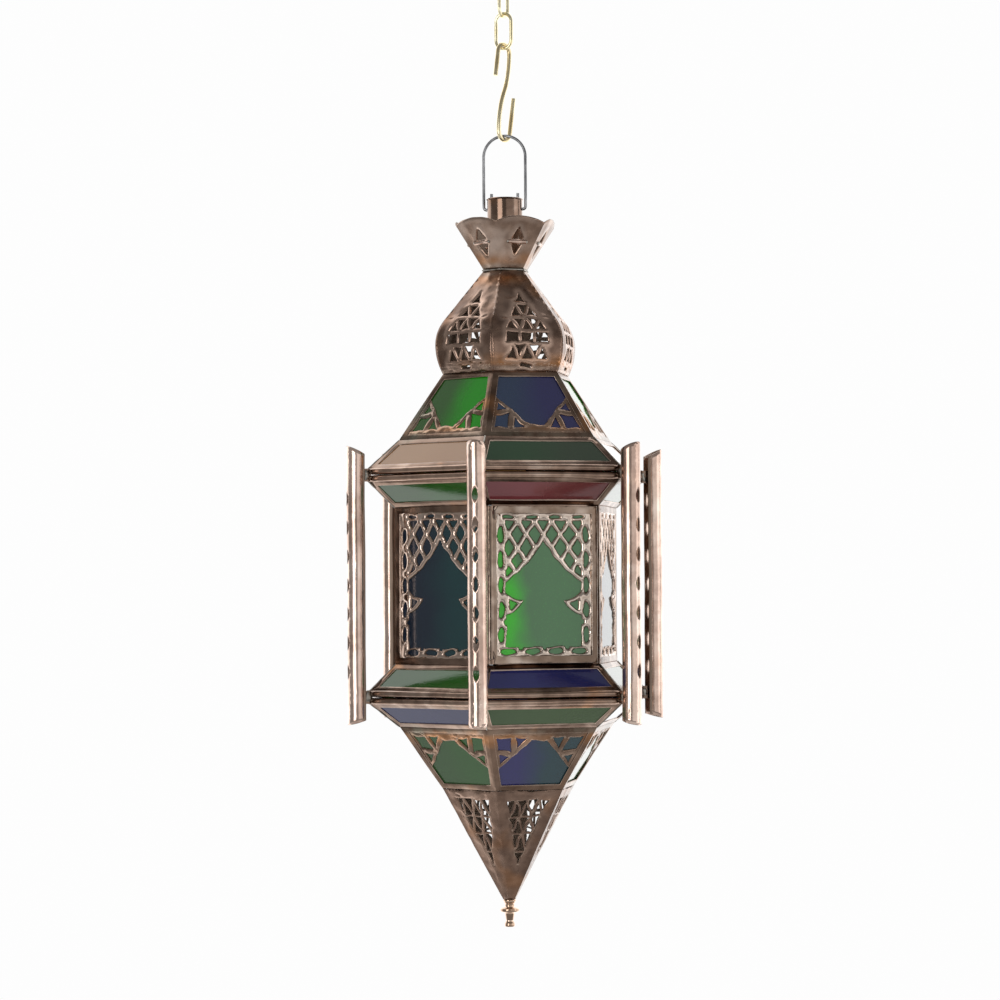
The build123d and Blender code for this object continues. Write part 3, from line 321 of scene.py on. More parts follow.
noise.seed_set(NOISE_SEED)
bar_copper = copper("folded_copper_bar", **BAR_COPPER)
for node in ("window_frames", "door_surround"):
    dress(f"folded_{node}", folded(node), bar_copper, "lantern", "copper_bar", node)

# Window grilles
# Thin copper sheet pierced with a tent-shaped arch, a diamond lattice and border slots.
# The chisel pushes the straps up between the holes, so they are rounded and bright on top.
SIDES = 6
CORNER_TURN = 2 * math.pi / SIDES
CORNER_MARGIN = 0.0012
CORNER_CALM = 0.009
LIP_CREST = 0.0022
LIP_REACH = 0.0035
RIM_WEAR_SHARE = 0.25
GRILLE_WEAR = 0.65
STRAP_LIFT = 0.0013
STRAP_DENT = 0.00020
STRAP_HAMMER = 0.6
GRILLE_EDGE = 0.0026
CUT_SIZE = 0.008
CUT_WANDER = 0.0011
SHEET_BEND = math.radians(8)
WALL_FACE = 0.6
SMOOTHING = 0.5
GRILLE_COPPER = {
    "dark": (0.20, 0.13, 0.095, 1),
    "mid": (0.42, 0.29, 0.22, 1),
    "bright": (0.88, 0.72, 0.62, 1),
    "satin": 0.08,
    "shine": 0.5,
    "tarnish": 0.25,
}


def beside_corner(point):
    """How far a point lies from the nearest of the lantern's six corners, where two sheets meet."""
    turn = math.atan2(point.y, point.x)
    aside = (turn + CORNER_TURN / 2) % CORNER_TURN - CORNER_TURN / 2
    return abs(math.sin(aside)) * math.hypot(point.x, point.y)


def off_corner(edge):
    """Whether an edge leaves the corners of the lantern."""
    return any(beside_corner(vert.co) > CORNER_MARGIN for vert in edge.verts)


def hole_rims(shape):
    """A sheet's front faces, the edges where the walls of its holes begin, and their points."""
    fronts = {face for face in shape.faces if outward(face) > OUTWARD_FACE}
    rims = set()
    for edge in shape.edges:
        on_front = len(fronts.intersection(edge.link_faces)) == 1
        is_sharp = edge.calc_face_angle(0) > FOLD_ANGLE
        if on_front and is_sharp and off_corner(edge):
            rims.add(edge)
    return fronts, rims, {vert for edge in rims for vert in edge.verts}


def open_holes(shape, growth):
    """Makes the holes of a sheet wider, by moving their walls back."""
    shape.normal_update()
    walls = {face for face in shape.faces if abs(outward(face)) < WALL_FACE}
    shifts = []
    for vert in shape.verts:
        inwards = sum((face.normal for face in walls.intersection(vert.link_faces)), Vector())
        if inwards.length and beside_corner(vert.co) > CORNER_MARGIN:
            shifts.append((vert, inwards.normalized() * growth))
    for vert, shift in shifts:
        vert.co -= shift


def split_straps(shape):
    """Evens out the triangles of a sheet's front and puts points between the two rims of each strap."""
    fronts = hole_rims(shape)[0]
    flat_edges = []
    for edge in shape.edges:
        if fronts.issuperset(edge.link_faces) and edge.calc_face_angle(math.pi) < SHEET_BEND:
            flat_edges.append(edge)
    front_faces = [face for face in shape.faces if face in fronts]
    bmesh.ops.beautify_fill(shape, faces=front_faces, edges=flat_edges, method="ANGLE")
    fronts, rims, rim_points = hole_rims(shape)
    across = []
    for edge in shape.edges:
        is_inner = edge not in rims and fronts.issuperset(edge.link_faces)
        if is_inner and rim_points.issuperset(edge.verts):
            across.append(edge)
    bmesh.ops.subdivide_edges(shape, edges=across, cuts=1)
    bmesh.ops.triangulate(shape, faces=[face for face in shape.faces if len(face.verts) > 3])
    shape.normal_update()


def distances_to(rim_points, points):
    """How far each point of a sheet lies from the nearest rim."""
    nearest = kdtree.KDTree(len(rim_points))
    for number, vert in enumerate(rim_points):
        nearest.insert(vert.co, number)
    nearest.balance()
    return [nearest.find(vert.co)[2] for vert in points]


def swell(distance, point):
    """How far a sheet swells at a distance from its nearest hole, from 0 at the hole's rim to 1."""
    rise = math.sin(math.pi / 2 * min(1.0, distance / LIP_CREST))
    return rise * min(1.0, beside_corner(point) / CORNER_CALM) ** 2


def hand_cut(shape, wander):
    """The uneven holes and straps of sheet that was cut by eye, within the plane of each side."""
    for vert in shape.verts:
        side = (math.floor(math.atan2(vert.co.y, vert.co.x) / CORNER_TURN) + 0.5) * CORNER_TURN
        outwards = Vector((math.cos(side), math.sin(side), 0))
        stray = noise.noise_vector(vert.co / CUT_SIZE) * wander
        calm = min(1.0, beside_corner(vert.co) / CORNER_CALM)
        vert.co += (stray - outwards * stray.dot(outwards)) * calm


def pierced(node, wear, lift=STRAP_LIFT, dent=STRAP_DENT, wander=CUT_WANDER, rounds=0, growth=0.0):
    """A copy of a pierced sheet that swells between its holes, with straps round and rubbed."""
    shape = joined(node)
    bmesh.ops.triangulate(shape, faces=shape.faces)
    shorten_edges(shape, GRILLE_EDGE)
    if growth:
        open_holes(shape, growth)
    worn = shape.verts.layers.float.new("worn")
    inside = shape.verts.layers.float.new("inside")
    split_straps(shape)
    fronts, _, rim_points = hole_rims(shape)
    inner = []
    for vert in shape.verts:
        if vert not in rim_points and fronts.issuperset(vert.link_faces):
            inner.append(vert)
    every_way = {"use_axis_x": True, "use_axis_y": True, "use_axis_z": True}
    for _ in range(rounds):
        bmesh.ops.smooth_vert(shape, verts=inner, factor=SMOOTHING, **every_way)
    shape.normal_update()
    for vert in rim_points:
        vert[worn] = wear * RIM_WEAR_SHARE
    for vert, distance in zip(inner, distances_to(rim_points, inner)):
        rise = swell(distance, vert.co)
        past_crest = max(0.0, distance - LIP_CREST)
        vert[worn] = wear * rise * max(0.0, 1 - past_crest / LIP_REACH)
        vert.co += vert.normal * lift * rise
    for face in shape.faces:
        if outward(face) < -OUTWARD_FACE:
            for vert in face.verts:
                vert[inside] = 1.0
    hand_cut(shape, wander)
    hand_bend(shape, dent)
    return shape


grille_copper = copper("pierced_copper_sheet", **GRILLE_COPPER, hammer=STRAP_HAMMER)
window_sheets = pierced("window_grilles", GRILLE_WEAR)
dress("pierced_window_grilles", window_sheets, grille_copper, "lantern", "copper_sheet", "window_grilles")

# Window and belt glass
# Cast coloured glass with a pebbled face, cut to each frame and held in its groove.
# The pebbles scatter light, so a pane is half see-through; its glints are painted, as fine flecks of
# lighter colour.
PANE_COLOURS = {
    "green": ((0.040, 0.110, 0.030, 1), (0.025, 0.130, 0.018, 1)),
    "dark_green": ((0.030, 0.075, 0.034, 1), (0.040, 0.062, 0.036, 1)),
    "grey_green": ((0.080, 0.135, 0.058, 1), (0.074, 0.128, 0.050, 1)),
    "blue": ((0.030, 0.032, 0.150, 1), (0.022, 0.024, 0.110, 1)),
    "navy": ((0.010, 0.020, 0.038, 1), (0.010, 0.050, 0.055, 1)),
    "slate": ((0.036, 0.040, 0.125, 1), (0.034, 0.036, 0.115, 1)),
    "amber": ((0.440, 0.225, 0.085, 1), (0.410, 0.200, 0.070, 1)),
    "red": ((0.240, 0.052, 0.060, 1), (0.190, 0.050, 0.050, 1)),
}
PANES = {
    "green": ("window_green_glass", "under_belt_green_glass", "over_belt_green_glass"),
    "dark_green": ("upper_belt_green_glass",),
    "grey_green": ("lower_belt_green_glass",),
    "blue": ("over_belt_blue_glass",),
    "navy": ("window_blue_glass",),
    "slate": ("lower_belt_blue_glass",),
    "amber": ("upper_belt_amber_glass",),
    "red": ("under_belt_red_glass",),
}
DULL_PANES = ("grey_green", "slate")
GLASS_IOR = 1.6
DULL_IOR = 1.3
SEE_THROUGH = 0.4
PANE_CHANGE = (0.25, 0.75)
PANE_CLOUDS = 24
PANE_DRIFT = 0.4
PEBBLES = 520
PEBBLE_BUMP = 0.05
PEBBLE_DEPTH = 0.0006
PEBBLE_ROUGHNESS = 0.08
GLASS_ROUGHNESS = 0.02
SPECKS = 900
SPECK_EDGE = (0.60, 0.74)
SPECK_STRENGTH = 0.12
SPECK_GAIN = 0.9
SPECK_WHITE = 0.02


def pebbled_glass(name, colours, change=PANE_CHANGE, painted_glow_lean=0.0, level=0.0, ior=GLASS_IOR):
    """Coloured glass that changes from one side of each face to the other, with a pebbled skin and
    painted glints.
    """
    finish, inputs, place = new_finish(name)
    left, right = colours
    turn = place.node("ShaderNodeTexGradient", {"gradient_type": "RADIAL"}, {"Vector": place}, 1)
    side = turn.maths("FRACT", turn * SIDES, 0)
    drift = place.cloud(PANE_CLOUDS, detail=2) * PANE_DRIFT - PANE_DRIFT / 2
    height = place.node("ShaderNodeSeparateXYZ", {}, {"Vector": place}, "Z")
    # For the door and upper tier panes, part of this side-to-side change is a painted glow.
    tone_and_painted_glow = (side + drift + (height - level) * painted_glow_lean).between(*change)
    pebble = place.cloud(PEBBLES, detail=2, roughness=0.5)
    # Painted glints: fine flecks of lighter glass colour stand in for light caught by the pebbles.
    painted_glint_specks = place.cloud(SPECKS, detail=1).between(*SPECK_EDGE) * SPECK_STRENGTH
    painted_glint_colour = [(one + other) * SPECK_GAIN + SPECK_WHITE for one, other in zip(left[:3], right[:3])]
    feed(
        inputs,
        Base_Color=painted_glint_specks.tint(tone_and_painted_glow.tint(left, right), (*painted_glint_colour, 1)),
        Roughness=pebble * PEBBLE_ROUGHNESS + GLASS_ROUGHNESS,
        Transmission_Weight=SEE_THROUGH,
        IOR=ior,
        Normal=pebble.bump(PEBBLE_BUMP, PEBBLE_DEPTH),
    )
    return finish


def finish_nodes(finish, *nodes):
    """Gives CAD nodes that keep their shape a better finish."""
    for node in nodes:
        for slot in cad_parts[node].material_slots:
            slot.material = finish


for tone, nodes in PANES.items():
    tone_ior = DULL_IOR if tone in DULL_PANES else GLASS_IOR
    finish_nodes(pebbled_glass(f"pebbled_{tone}_glass", PANE_COLOURS[tone], ior=tone_ior), *nodes)

# Belt frames
# Four sloping rings round the drum, two at each waist, of the same folded copper strip as the windows.
# Each ring is six frames, soldered to one another at the corners and to the rails at the waist.
BELT_FRAMES = ("upper_belt_frames", "under_belt_frames", "over_belt_frames", "lower_belt_frames")
for node in BELT_FRAMES:
    dress(f"folded_{node}", folded(node), bar_copper, "lantern", "copper_bar", node)

# Waist rails
# Half-round copper bars in pairs round each waist, with a narrow slot between them.
# Handling has rubbed their round backs brighter than the frames.
WAIST_RAILS = ("upper_waist_rails", "lower_waist_rails")
RAIL_SWELL = 0.0004
RAIL_COPPER = {
    "dark": (0.22, 0.145, 0.108, 1),
    "mid": (0.49, 0.34, 0.26, 1),
    "bright": (0.92, 0.74, 0.62, 1),
    "satin": 0.14,
    "shine": 0.5,
    "tarnish": 0.35,
}
rail_copper = copper("half_round_copper", **RAIL_COPPER)
for node in WAIST_RAILS:
    rails = joined(node)
    shorten_edges(rails, LONGEST_EDGE)
    rails.normal_update()
    for vert in rails.verts:
        vert.co += vert.normal * RAIL_SWELL
    hand_bend(rails)
    dress(f"bent_{node}", rails, rail_copper, "lantern", "copper_bar", node)

# Sloping tiers
# Six leaning panes above the belts and six below, each with a pierced corner sheet before its glass.
# Their frames carry the most heat stain, because every seam of the slope was soldered.
# The upper tier's green turns bright towards the right of each pane: a painted glow of light coming
# through the glass.
TIER_GREEN_GLASS_AND_PAINTED_GLOW = {
    "upper": ((0.034, 0.120, 0.020, 1), (0.012, 0.320, 0.004, 1)),
    "lower": ((0.055, 0.125, 0.045, 1), (0.050, 0.140, 0.040, 1)),
}
TIER_BLUE_GLASS = {
    "upper": ((0.030, 0.050, 0.100, 1), (0.030, 0.030, 0.105, 1)),
    "lower": ((0.036, 0.034, 0.150, 1), (0.026, 0.066, 0.080, 1)),
}
TIER_COPPER = {
    "dark": (0.115, 0.072, 0.05, 1),
    "mid": (0.26, 0.172, 0.125, 1),
    "bright": (0.66, 0.50, 0.40, 1),
    "satin": 0.15,
    "shine": 0.3,
    "tarnish": 0.8,
}
SPANDREL_WEAR = {"upper": 0.4, "lower": 0.1}
SPANDREL_LIFT = {"upper": 0.0008, "lower": 0.0005}
tier_seams = (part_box("upper_tier_frames")[0].z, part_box("lower_tier_frames")[1].z)
stained_copper = copper("heat_stained_copper", **TIER_COPPER, seams=tier_seams)
for tier in ("upper", "lower"):
    frames = f"{tier}_tier_frames"
    sheets = f"{tier}_tier_spandrels"
    dress(f"folded_{frames}", folded(frames), stained_copper, "lantern", "copper_bar", frames)
    corner_sheets = pierced(sheets, SPANDREL_WEAR[tier], SPANDREL_LIFT[tier])
    dress(f"pierced_{sheets}", corner_sheets, stained_copper, "lantern", "copper_sheet", sheets)
    # On the upper tier, the green glass carries a painted glow at the right of each pane.
    green = pebbled_glass(f"pebbled_{tier}_green_glass", TIER_GREEN_GLASS_AND_PAINTED_GLOW[tier])
    blue = pebbled_glass(f"pebbled_{tier}_blue_glass", TIER_BLUE_GLASS[tier])
    finish_nodes(green, f"{tier}_tier_green_glass")
    finish_nodes(blue, f"{tier}_tier_blue_glass")

# Dome gores
# Six gores of copper sheet, pierced flat and hammered to an onion curve.
# They are soldered edge to edge, and heat and flux have stained the metal at both ends.
GORE_WEAR = 0.7
GORE_ROUNDS = 5
SHEET_LIFT = 0.0006
SHEET_COPPER = {
    "dark": (0.14, 0.088, 0.066, 1),
    "mid": (0.31, 0.202, 0.15, 1),
    "bright": (0.80, 0.57, 0.45, 1),
    "satin": 0.19,
    "shine": 0.3,
    "tarnish": 0.3,
}
dome_low, dome_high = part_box("dome_gores")
dome_seams = (dome_low.z, dome_high.z)
sheet_copper = copper("aged_copper_sheet", **SHEET_COPPER, seams=dome_seams)
gores = pierced("dome_gores", GORE_WEAR, SHEET_LIFT, DENT_DEPTH, rounds=GORE_ROUNDS)
dress("pierced_dome_gores", gores, sheet_copper, "lantern", "copper_sheet", "dome_gores")

# Crown petals and neck
# Six flaring petals with a scalloped lip round the neck tube, each pierced with a split star.
# The tube is rolled sheet, standing on a small plate.
PETAL_WEAR = 0.22
PETAL_WANDER = 0.0004
CROWN_COPPER = {**GRILLE_COPPER, "satin": 0.19, "shine": 0.4, "tarnish": 0.3}
TUBE_COPPER = {**GRILLE_COPPER, "tarnish": 0.3}
petals = pierced("crown_petals", PETAL_WEAR, SHEET_LIFT, DENT_DEPTH, PETAL_WANDER)
crown_copper = copper("flared_copper_sheet", **CROWN_COPPER, seams=dome_seams)
dress("pierced_crown_petals", petals, crown_copper, "lantern", "copper_sheet", "crown_petals")
finish_nodes(copper("rolled_copper_tube", **TUBE_COPPER), "neck_tube", "neck_plate")

# Cone and finial
# Six tapering pierced panels of the dome's sheet close the bottom, soldered along their edges.
# A finial, turned from copper rod, is soldered into the point.
CONE_WEAR = 0.15
CONE_WANDER = 0.0018
CONE_GROWTH = 0.0004
FINIAL_ROUNDING = 0.0006
FINIAL_COPPER = {
    "dark": (0.42, 0.27, 0.18, 1),
    "mid": (0.66, 0.46, 0.33, 1),
    "bright": (0.90, 0.70, 0.55, 1),
    "satin": 0.08,
    "shine": 0.5,
    "tarnish": 0.15,
}
cone_sheets = pierced("cone_panels", CONE_WEAR, SHEET_LIFT, wander=CONE_WANDER, growth=CONE_GROWTH)
dress("pierced_cone_panels", cone_sheets, sheet_copper, "lantern", "copper_sheet", "cone_panels")
finial_copper = copper("turned_copper", **FINIAL_COPPER)
finial_shape, finial_rims = whole_faces("finial")
rounded(finial_shape, finial_rims, FINIAL_ROUNDING)
dress("rounded_finial", finial_shape, finial_copper, "lantern", "copper_turned", "finial")

# Corner columns
# Copper tubes split down the inside and punched with leaf-shaped holes.
# Two short stubs hold each one, soldered to the corners of the waists.
COLUMN_COPPER = {
    "dark": (0.52, 0.365, 0.295, 1),
    "mid": (0.84, 0.635, 0.53, 1),
    "bright": (0.93, 0.78, 0.69, 1),
    "satin": 0.12,
    "shine": 0.6,
    "tarnish": 0.2,
}
column_copper = copper("split_copper_tube", **COLUMN_COPPER)
punched_columns = pierced("columns", wear=0.0, lift=0.0, dent=DENT_DEPTH, wander=0.0)
dress("punched_columns", punched_columns, column_copper, "lantern", "copper_sheet", "columns")
finish_nodes(bar_copper, "column_stubs")

# Solder and star bars
# Tin solder runs in thin lumpy seams down the corners of the belts and round the neck.
# Blobs of it hold the column stubs, and drops hold the copper bars across the crown's stars.
SOLDER_DULL = (0.22, 0.205, 0.175, 1)
SOLDER_BRIGHT = (0.58, 0.55, 0.50, 1)
SOLDER_STEP = 0.0016
SOLDER_LUMP = 0.0045
SOLDER_SIDES = 8
FEWEST_STEPS = 3
SEAM_RADIUS = 0.0005
SEAM_UNEVENNESS = 0.6
NECK_SEAM_RADIUS = 0.0008
BLOB_RADIUS = 0.0034
BLOB_STRETCH = 1.5
BLOB_UNEVENNESS = 0.45
STAR_ABOVE_NECK = 0.0216
STAR_APOTHEM = 0.0298
STAR_BAR_REACH = 0.0078
STAR_BAR_RADIUS = 0.0015
STAR_DROP_RADIUS = 0.0014
LEVEL_BAND = 0.0006
MOTTLE_EDGE = (0.35, 0.65)
TIN_CLOUDS = 60
TIN_ROUGHNESS = 0.2
TIN_ROUGHNESS_SPREAD = 0.3
TIN_PITS = 240
TIN_PIT_BUMP = 0.3
TIN_PIT_DEPTH = 0.001


def tin(name, dull, bright):
    """Tinned iron or solder: grey, with dull clouds."""
    finish, inputs, place = new_finish(name)
    cloud = place.cloud(TIN_CLOUDS, detail=4, roughness=0.6)
    feed(
        inputs,
        Base_Color=cloud.between(*MOTTLE_EDGE).tint(dull, bright),
        Metallic=1.0,
        Roughness=cloud * TIN_ROUGHNESS_SPREAD + TIN_ROUGHNESS,
        Normal=place.cloud(TIN_PITS).bump(TIN_PIT_BUMP, TIN_PIT_DEPTH),
    )
    return finish


def seam(shape, start, end, radius):
    """Adds a lumpy line of solder between two points."""
    along = end - start
    turned = along.to_track_quat("Z", "Y").to_matrix().to_4x4()
    line = bmesh.new()
    bmesh.ops.create_cone(
        line,
        cap_ends=True,
        segments=SOLDER_SIDES,
        radius1=radius,
        radius2=radius,
        depth=along.length,
        matrix=Matrix.Translation((start + end) / 2) @ turned,
    )
    lengthways = [edge for edge in line.edges if edge.calc_length() > along.length / 2]
    steps = max(FEWEST_STEPS, round(along.length / SOLDER_STEP))
    bmesh.ops.subdivide_edges(line, edges=lengthways, cuts=steps - 1)
    for vert in line.verts:
        middle = start + (vert.co - start).project(along)
        vert.co += (vert.co - middle) * SEAM_UNEVENNESS * noise.noise(middle / SOLDER_LUMP)
    line_mesh = bpy.data.meshes.new("seam")
    line.to_mesh(line_mesh)
    line.free()
    shape.from_mesh(line_mesh)
    bpy.data.meshes.remove(line_mesh)


def blob(shape, middle, radius, stretch=1.0):
    """Adds a lump of solder, stretched up and down."""
    place = Matrix.Translation(middle) @ Matrix.Diagonal((1, 1, stretch, 1))
    made = bmesh.ops.create_icosphere(shape, subdivisions=3, radius=radius, matrix=place)
    for vert in made["verts"]:
        vert.co += (vert.co - middle) * BLOB_UNEVENNESS * noise.noise(vert.co / SOLDER_LUMP)


def corner(number, radius, level):
    """A point on one of the six corners of the lantern."""
    turn = CORNER_TURN * number
    return Vector((radius * math.cos(turn), radius * math.sin(turn), level))


def widest(node, level):
    """A node's greatest distance from the axis at a level."""
    places = [vert.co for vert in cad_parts[node].data.vertices]
    near = [place for place in places if abs(place.z - level) < LEVEL_BAND]
    return max(math.hypot(place.x, place.y) for place in near)


solder_shape = bmesh.new()
for node in BELT_FRAMES:
    low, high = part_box(node)
    low_radius = widest(node, low.z)
    high_radius = widest(node, high.z)
    for number in range(SIDES):
        foot = corner(number, low_radius, low.z)
        seam(solder_shape, foot, corner(number, high_radius, high.z), SEAM_RADIUS)
plate_low, plate_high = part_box("neck_plate")
neck_radius = widest("neck_plate", plate_low.z)
neck_z = (plate_low.z + plate_high.z) / 2
for number in range(SIDES):
    start = corner(number, neck_radius, neck_z)
    seam(solder_shape, start, corner(number + 1, neck_radius, neck_z), NECK_SEAM_RADIUS)
for node in WAIST_RAILS:
    waist_low, waist_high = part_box(node)
    waist_z = (waist_low.z + waist_high.z) / 2
    for number in range(SIDES):
        blob(solder_shape, corner(number, waist_high.x, waist_z), BLOB_RADIUS, BLOB_STRETCH)
star_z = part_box("crown_petals")[0].z + STAR_ABOVE_NECK
bar_shape = bmesh.new()
for number in range(SIDES):
    turn = CORNER_TURN * (number + 0.5)
    middle = Vector((STAR_APOTHEM * math.cos(turn), STAR_APOTHEM * math.sin(turn), star_z))
    reach = Vector((-math.sin(turn), math.cos(turn), 0)) * STAR_BAR_REACH
    seam(bar_shape, middle - reach, middle + reach, STAR_BAR_RADIUS)
    blob(solder_shape, middle - reach, STAR_DROP_RADIUS)
    blob(solder_shape, middle + reach, STAR_DROP_RADIUS)
solder = tin("tin_solder", SOLDER_DULL, SOLDER_BRIGHT)
dress("solder_seams", solder_shape, solder, "lantern", "tinned_iron")
dress("star_bars", bar_shape, column_copper, "lantern", "copper_bar")

# Candle tray
# A dish of tinned iron inside the drum, with a cup for the candle.
# Three bent arms carry it, each turned up at its outer end against the wall of the drum.
TIN_DULL = (0.30, 0.29, 0.27, 1)
TIN_BRIGHT = (0.62, 0.60, 0.57, 1)
tinned_iron = tin("tinned_iron", TIN_DULL, TIN_BRIGHT)
finish_nodes(tinned_iron, "candle_tray", "tray_arms", "candle_cup")

# Door
# The front window opens: a proud frame with its own pierced sheet and pane, hinged on its left edge.
# Fingers have kept its frame and sheet brighter than the fixed windows.
DOOR_ROUNDING = 0.0021
BARREL_PROUD = 0.0003
SHORTEST_BAR = 0.02
DOOR_WEAR = 0.9
DOOR_COPPER = {
    "dark": (0.185, 0.128, 0.094, 1),
    "mid": (0.36, 0.265, 0.205, 1),
    "bright": (0.96, 0.82, 0.71, 1),
    "satin": 0.06,
    "shine": 0.6,
    "tarnish": 0.12,
}
# The pane's bright green at its left edge and towards its bottom is a painted glow of light through the
# glass; the rest is its own green.
DOOR_GREEN_GLASS_AND_PAINTED_GLOW = ((0.045, 0.640, 0.012, 1), (0.090, 0.225, 0.096, 1))
DOOR_PAINTED_GLOW_EDGE = (0.10, 0.36)
DOOR_PAINTED_GLOW_LEAN = 1.5
door_copper = copper("rubbed_copper", **DOOR_COPPER, hammer=STRAP_HAMMER)
door_bars, door_folds = whole_faces("door_frame")
front_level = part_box("door_frame")[0].y + BARREL_PROUD
front_folds = []
for edge in door_folds:
    is_front = all(vert.co.y < front_level for vert in edge.verts)
    if is_front and edge.calc_length() > SHORTEST_BAR:
        front_folds.append(edge)
rounded(door_bars, front_folds, DOOR_ROUNDING)
shorten_edges(door_bars, LONGEST_EDGE)
hand_bend(door_bars)
dress("folded_door_frame", door_bars, door_copper, "door", "copper_bar", "door_frame")
door_sheet = pierced("door_grille", DOOR_WEAR)
dress("pierced_door_grille", door_sheet, door_copper, "door", "copper_sheet", "door_grille")
pane_low, pane_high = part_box("door_glass")
pane_z = (pane_low.z + pane_high.z) / 2
# A painted glow: the pane turns bright green at its left edge and lower part.
painted_glow_door_glass = pebbled_glass(
    "pebbled_door_glass_painted_glow", DOOR_GREEN_GLASS_AND_PAINTED_GLOW, DOOR_PAINTED_GLOW_EDGE, DOOR_PAINTED_GLOW_LEAN, pane_z
)
finish_nodes(painted_glow_door_glass, "door_glass")
finish_nodes(bar_copper, "hinge_lugs")

# Bail
# A loop of dark drawn steel wire, bent cold, by which the lantern hangs.
# Its ends pass through the neck tube and turn up inside it. The door's hinge pin is steel wire too.
STEEL_DARK = (0.17, 0.17, 0.175, 1)
STEEL_LIGHT = (0.40, 0.40, 0.41, 1)
STEEL_ROUGHNESS = 0.25
WIRE_CLOUDS = 70
WIRE_ROUGHNESS_SPREAD = 0.16
WIRE_GRAIN = 300
WIRE_GRAIN_BUMP = 0.02
WIRE_GRAIN_DEPTH = 0.0006


def wire(name, dull, light, roughness):
    """Drawn wire with a mottled skin."""
    finish, inputs, place = new_finish(name)
    mottle = place.cloud(WIRE_CLOUDS, roughness=0.5)
    feed(
        inputs,
        Base_Color=mottle.between(*MOTTLE_EDGE).tint(dull, light),
        Metallic=1.0,
        Roughness=mottle * WIRE_ROUGHNESS_SPREAD + roughness,
        Normal=place.cloud(WIRE_GRAIN, detail=2).bump(WIRE_GRAIN_BUMP, WIRE_GRAIN_DEPTH),
    )
    return finish


steel_wire = wire("dark_steel_wire", STEEL_DARK, STEEL_LIGHT, STEEL_ROUGHNESS)
finish_nodes(steel_wire, "bail", "hinge_pin")

# S-hook and chain
# Brass wire bent to an S, which holds the bail and hangs in the last link of the chain.
# The long links are of thinner, brighter brass wire, each bent round and closed on itself.
HOOK_DULL = (0.70, 0.56, 0.31, 1)
HOOK_LIGHT = (0.93, 0.82, 0.55, 1)
HOOK_ROUGHNESS = 0.14
LINK_DULL = (0.88, 0.77, 0.47, 1)
LINK_LIGHT = (0.98, 0.92, 0.68, 1)
LINK_ROUGHNESS = 0.12
finish_nodes(wire("brass_hook_wire", HOOK_DULL, HOOK_LIGHT, HOOK_ROUGHNESS), "s_hook")
finish_nodes(wire("brass_link_wire", LINK_DULL, LINK_LIGHT, LINK_ROUGHNESS), "lower_link", "top_link")

# Floor
# A pale, matt round floor well below the hanging lantern, with a faint unevenness.
# It takes the lantern's shadow, and the polished metal doesn't mirror it.
FLOOR_DROP = 0.75
FLOOR_RADIUS = 1.5
FLOOR_SEGMENTS = 96
FLOOR_DARK = (0.86, 0.86, 0.85, 1)
FLOOR_LIGHT = (0.9, 0.9, 0.89, 1)
FLOOR_CLOUDS = 30
FLOOR_ROUGHNESS = 0.9
floor_shape = bmesh.new()
floor_place = Matrix.Translation((0, 0, cad_box[0][2] - FLOOR_DROP))
bmesh.ops.create_circle(
    floor_shape, cap_ends=True, segments=FLOOR_SEGMENTS, radius=FLOOR_RADIUS, matrix=floor_place
)
floor_mesh = bpy.data.meshes.new("floor")
floor_shape.to_mesh(floor_mesh)
floor_shape.free()
floor = bpy.data.objects.new("floor", floor_mesh)
bpy.context.scene.collection.objects.link(floor)
floor_finish, floor_inputs, floor_coordinates = new_finish("pale_floor")
floor_colour = floor_coordinates.cloud(FLOOR_CLOUDS, detail=4).tint(FLOOR_DARK, FLOOR_LIGHT)
feed(floor_inputs, Base_Color=floor_colour, Roughness=FLOOR_ROUGHNESS)
floor_mesh.materials.append(floor_finish)
floor.visible_glossy = False

# Studio light
# The lantern hangs before a white backdrop, in a room that is darker on the camera's side.
# Three soft boxes light it: a strong one at the left, and a wide and a narrow one at the right.
VIEW_AZIMUTH = math.radians(-19.5)
VIEW_DIRECTION = Vector((-math.sin(VIEW_AZIMUTH), math.cos(VIEW_AZIMUTH), 0))
LANTERN_MIDDLE = Vector((0, 0, -0.51))
SURROUND_WHITE = (0.985, 0.985, 0.985, 1)
ROOM_LEVEL = 0.27
BACKDROP_LEVEL = 1.6
BACKDROP_EDGE = (0.18, 0.34)
AMBIENT_LEVEL = 0.66
FLOOR_GLOW = 0.6
FLOOR_GLOW_EDGE = (0.2, 0.7)
SOFT_BOX_DISTANCE = 2.2
world = bpy.data.worlds.new("white_studio")
bpy.context.scene.world = world
world.use_nodes = True
sky = Shade(world.node_tree)


def ray(kind):
    """A mask that is 1 for rays of a kind and 0 for others."""
    return sky.node("ShaderNodeLightPath", {}, {}, kind)


seen = ray("Is Camera Ray") + ray("Is Transmission Ray")
shown = seen.maths("MINIMUM", seen, 1.0)
mirrored = ray("Is Glossy Ray")
heading = sky.node("ShaderNodeTexCoord", {}, {}, "Generated")
behind = sky.node(
    "ShaderNodeVectorMath", {"operation": "DOT_PRODUCT"}, {0: heading, 1: VIEW_DIRECTION}, "Value"
)
backdrop = behind.between(*BACKDROP_EDGE) * (BACKDROP_LEVEL - ROOM_LEVEL) + ROOM_LEVEL
upwards = sky.node("ShaderNodeSeparateXYZ", {}, {"Vector": heading}, "Z")
floor_glow = (0 - upwards).between(*FLOOR_GLOW_EDGE) * FLOOR_GLOW
surround = backdrop.maths("MAXIMUM", backdrop, floor_glow)
unseen = mirrored * surround + (1 - mirrored) * AMBIENT_LEVEL
strength = shown + (1 - shown) * unseen
feed(world.node_tree.nodes["Background"].inputs, Color=SURROUND_WHITE, Strength=strength)


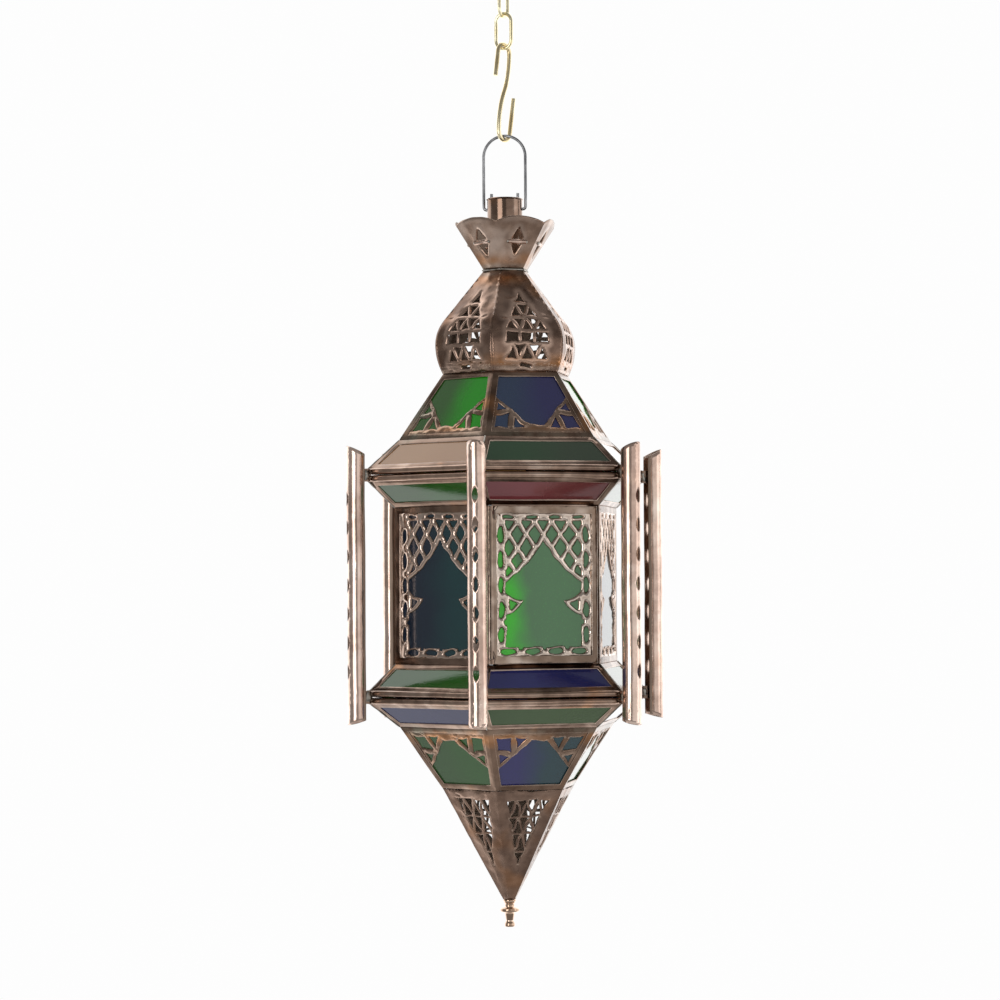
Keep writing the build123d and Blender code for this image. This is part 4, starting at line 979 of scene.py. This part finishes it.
def soft_box(name, turn, rise, width, height, radiance):
    """An area lamp aimed at the lantern, turned by degrees from the camera's side to the right."""
    lamp = bpy.data.lights.new(name, "AREA")
    lamp.shape = "RECTANGLE"
    lamp.size = width
    lamp.size_y = height
    lamp.energy = radiance * math.pi * width * height
    box = bpy.data.objects.new(name, lamp)
    towards = Matrix.Rotation(math.radians(turn), 3, "Z") @ -VIEW_DIRECTION
    box.location = LANTERN_MIDDLE + towards * SOFT_BOX_DISTANCE + Vector((0, 0, rise))
    aim = LANTERN_MIDDLE - box.location
    box.rotation_euler = aim.to_track_quat("-Z", "Y").to_euler()
    bpy.context.scene.collection.objects.link(box)


soft_box("right_soft_box", turn=36, rise=0.05, width=2.3, height=1.3, radiance=0.55)
soft_box("side_soft_box", turn=80, rise=0.1, width=1.3, height=1.5, radiance=1.3)
soft_box("left_soft_box", turn=-32, rise=0.15, width=1.1, height=1.5, radiance=2.8)

# Camera
# It looks level at the middle of the drum, from the photograph's viewing angle.
# Its lens, shift and slight roll put the lantern where it is in the photograph.
CAMERA_DISTANCE = 2.5
EYE_LEVEL = -0.515
SENSOR_WIDTH = 36.0
FOCAL_PIXELS = 2943.0
IMAGE_PIXELS = 1000
PRINCIPAL_PIXEL = (507.5, 590.1)
CAMERA_ROLL = math.radians(-0.41)
lens = bpy.data.cameras.new("photo_camera")
lens.sensor_width = SENSOR_WIDTH
lens.lens = SENSOR_WIDTH * FOCAL_PIXELS / IMAGE_PIXELS
lens.shift_x = (IMAGE_PIXELS / 2 - PRINCIPAL_PIXEL[0]) / IMAGE_PIXELS
lens.shift_y = (PRINCIPAL_PIXEL[1] - IMAGE_PIXELS / 2) / IMAGE_PIXELS
camera = bpy.data.objects.new("photo_camera", lens)
camera.location = Vector((0, 0, EYE_LEVEL)) - VIEW_DIRECTION * CAMERA_DISTANCE
level_turn = VIEW_DIRECTION.to_track_quat("-Z", "Y").to_matrix()
camera.rotation_euler = (level_turn @ Matrix.Rotation(CAMERA_ROLL, 3, "Z")).to_euler()
bpy.context.scene.collection.objects.link(camera)
bpy.context.scene.camera = camera
bpy.context.scene.view_settings.view_transform = "Standard"
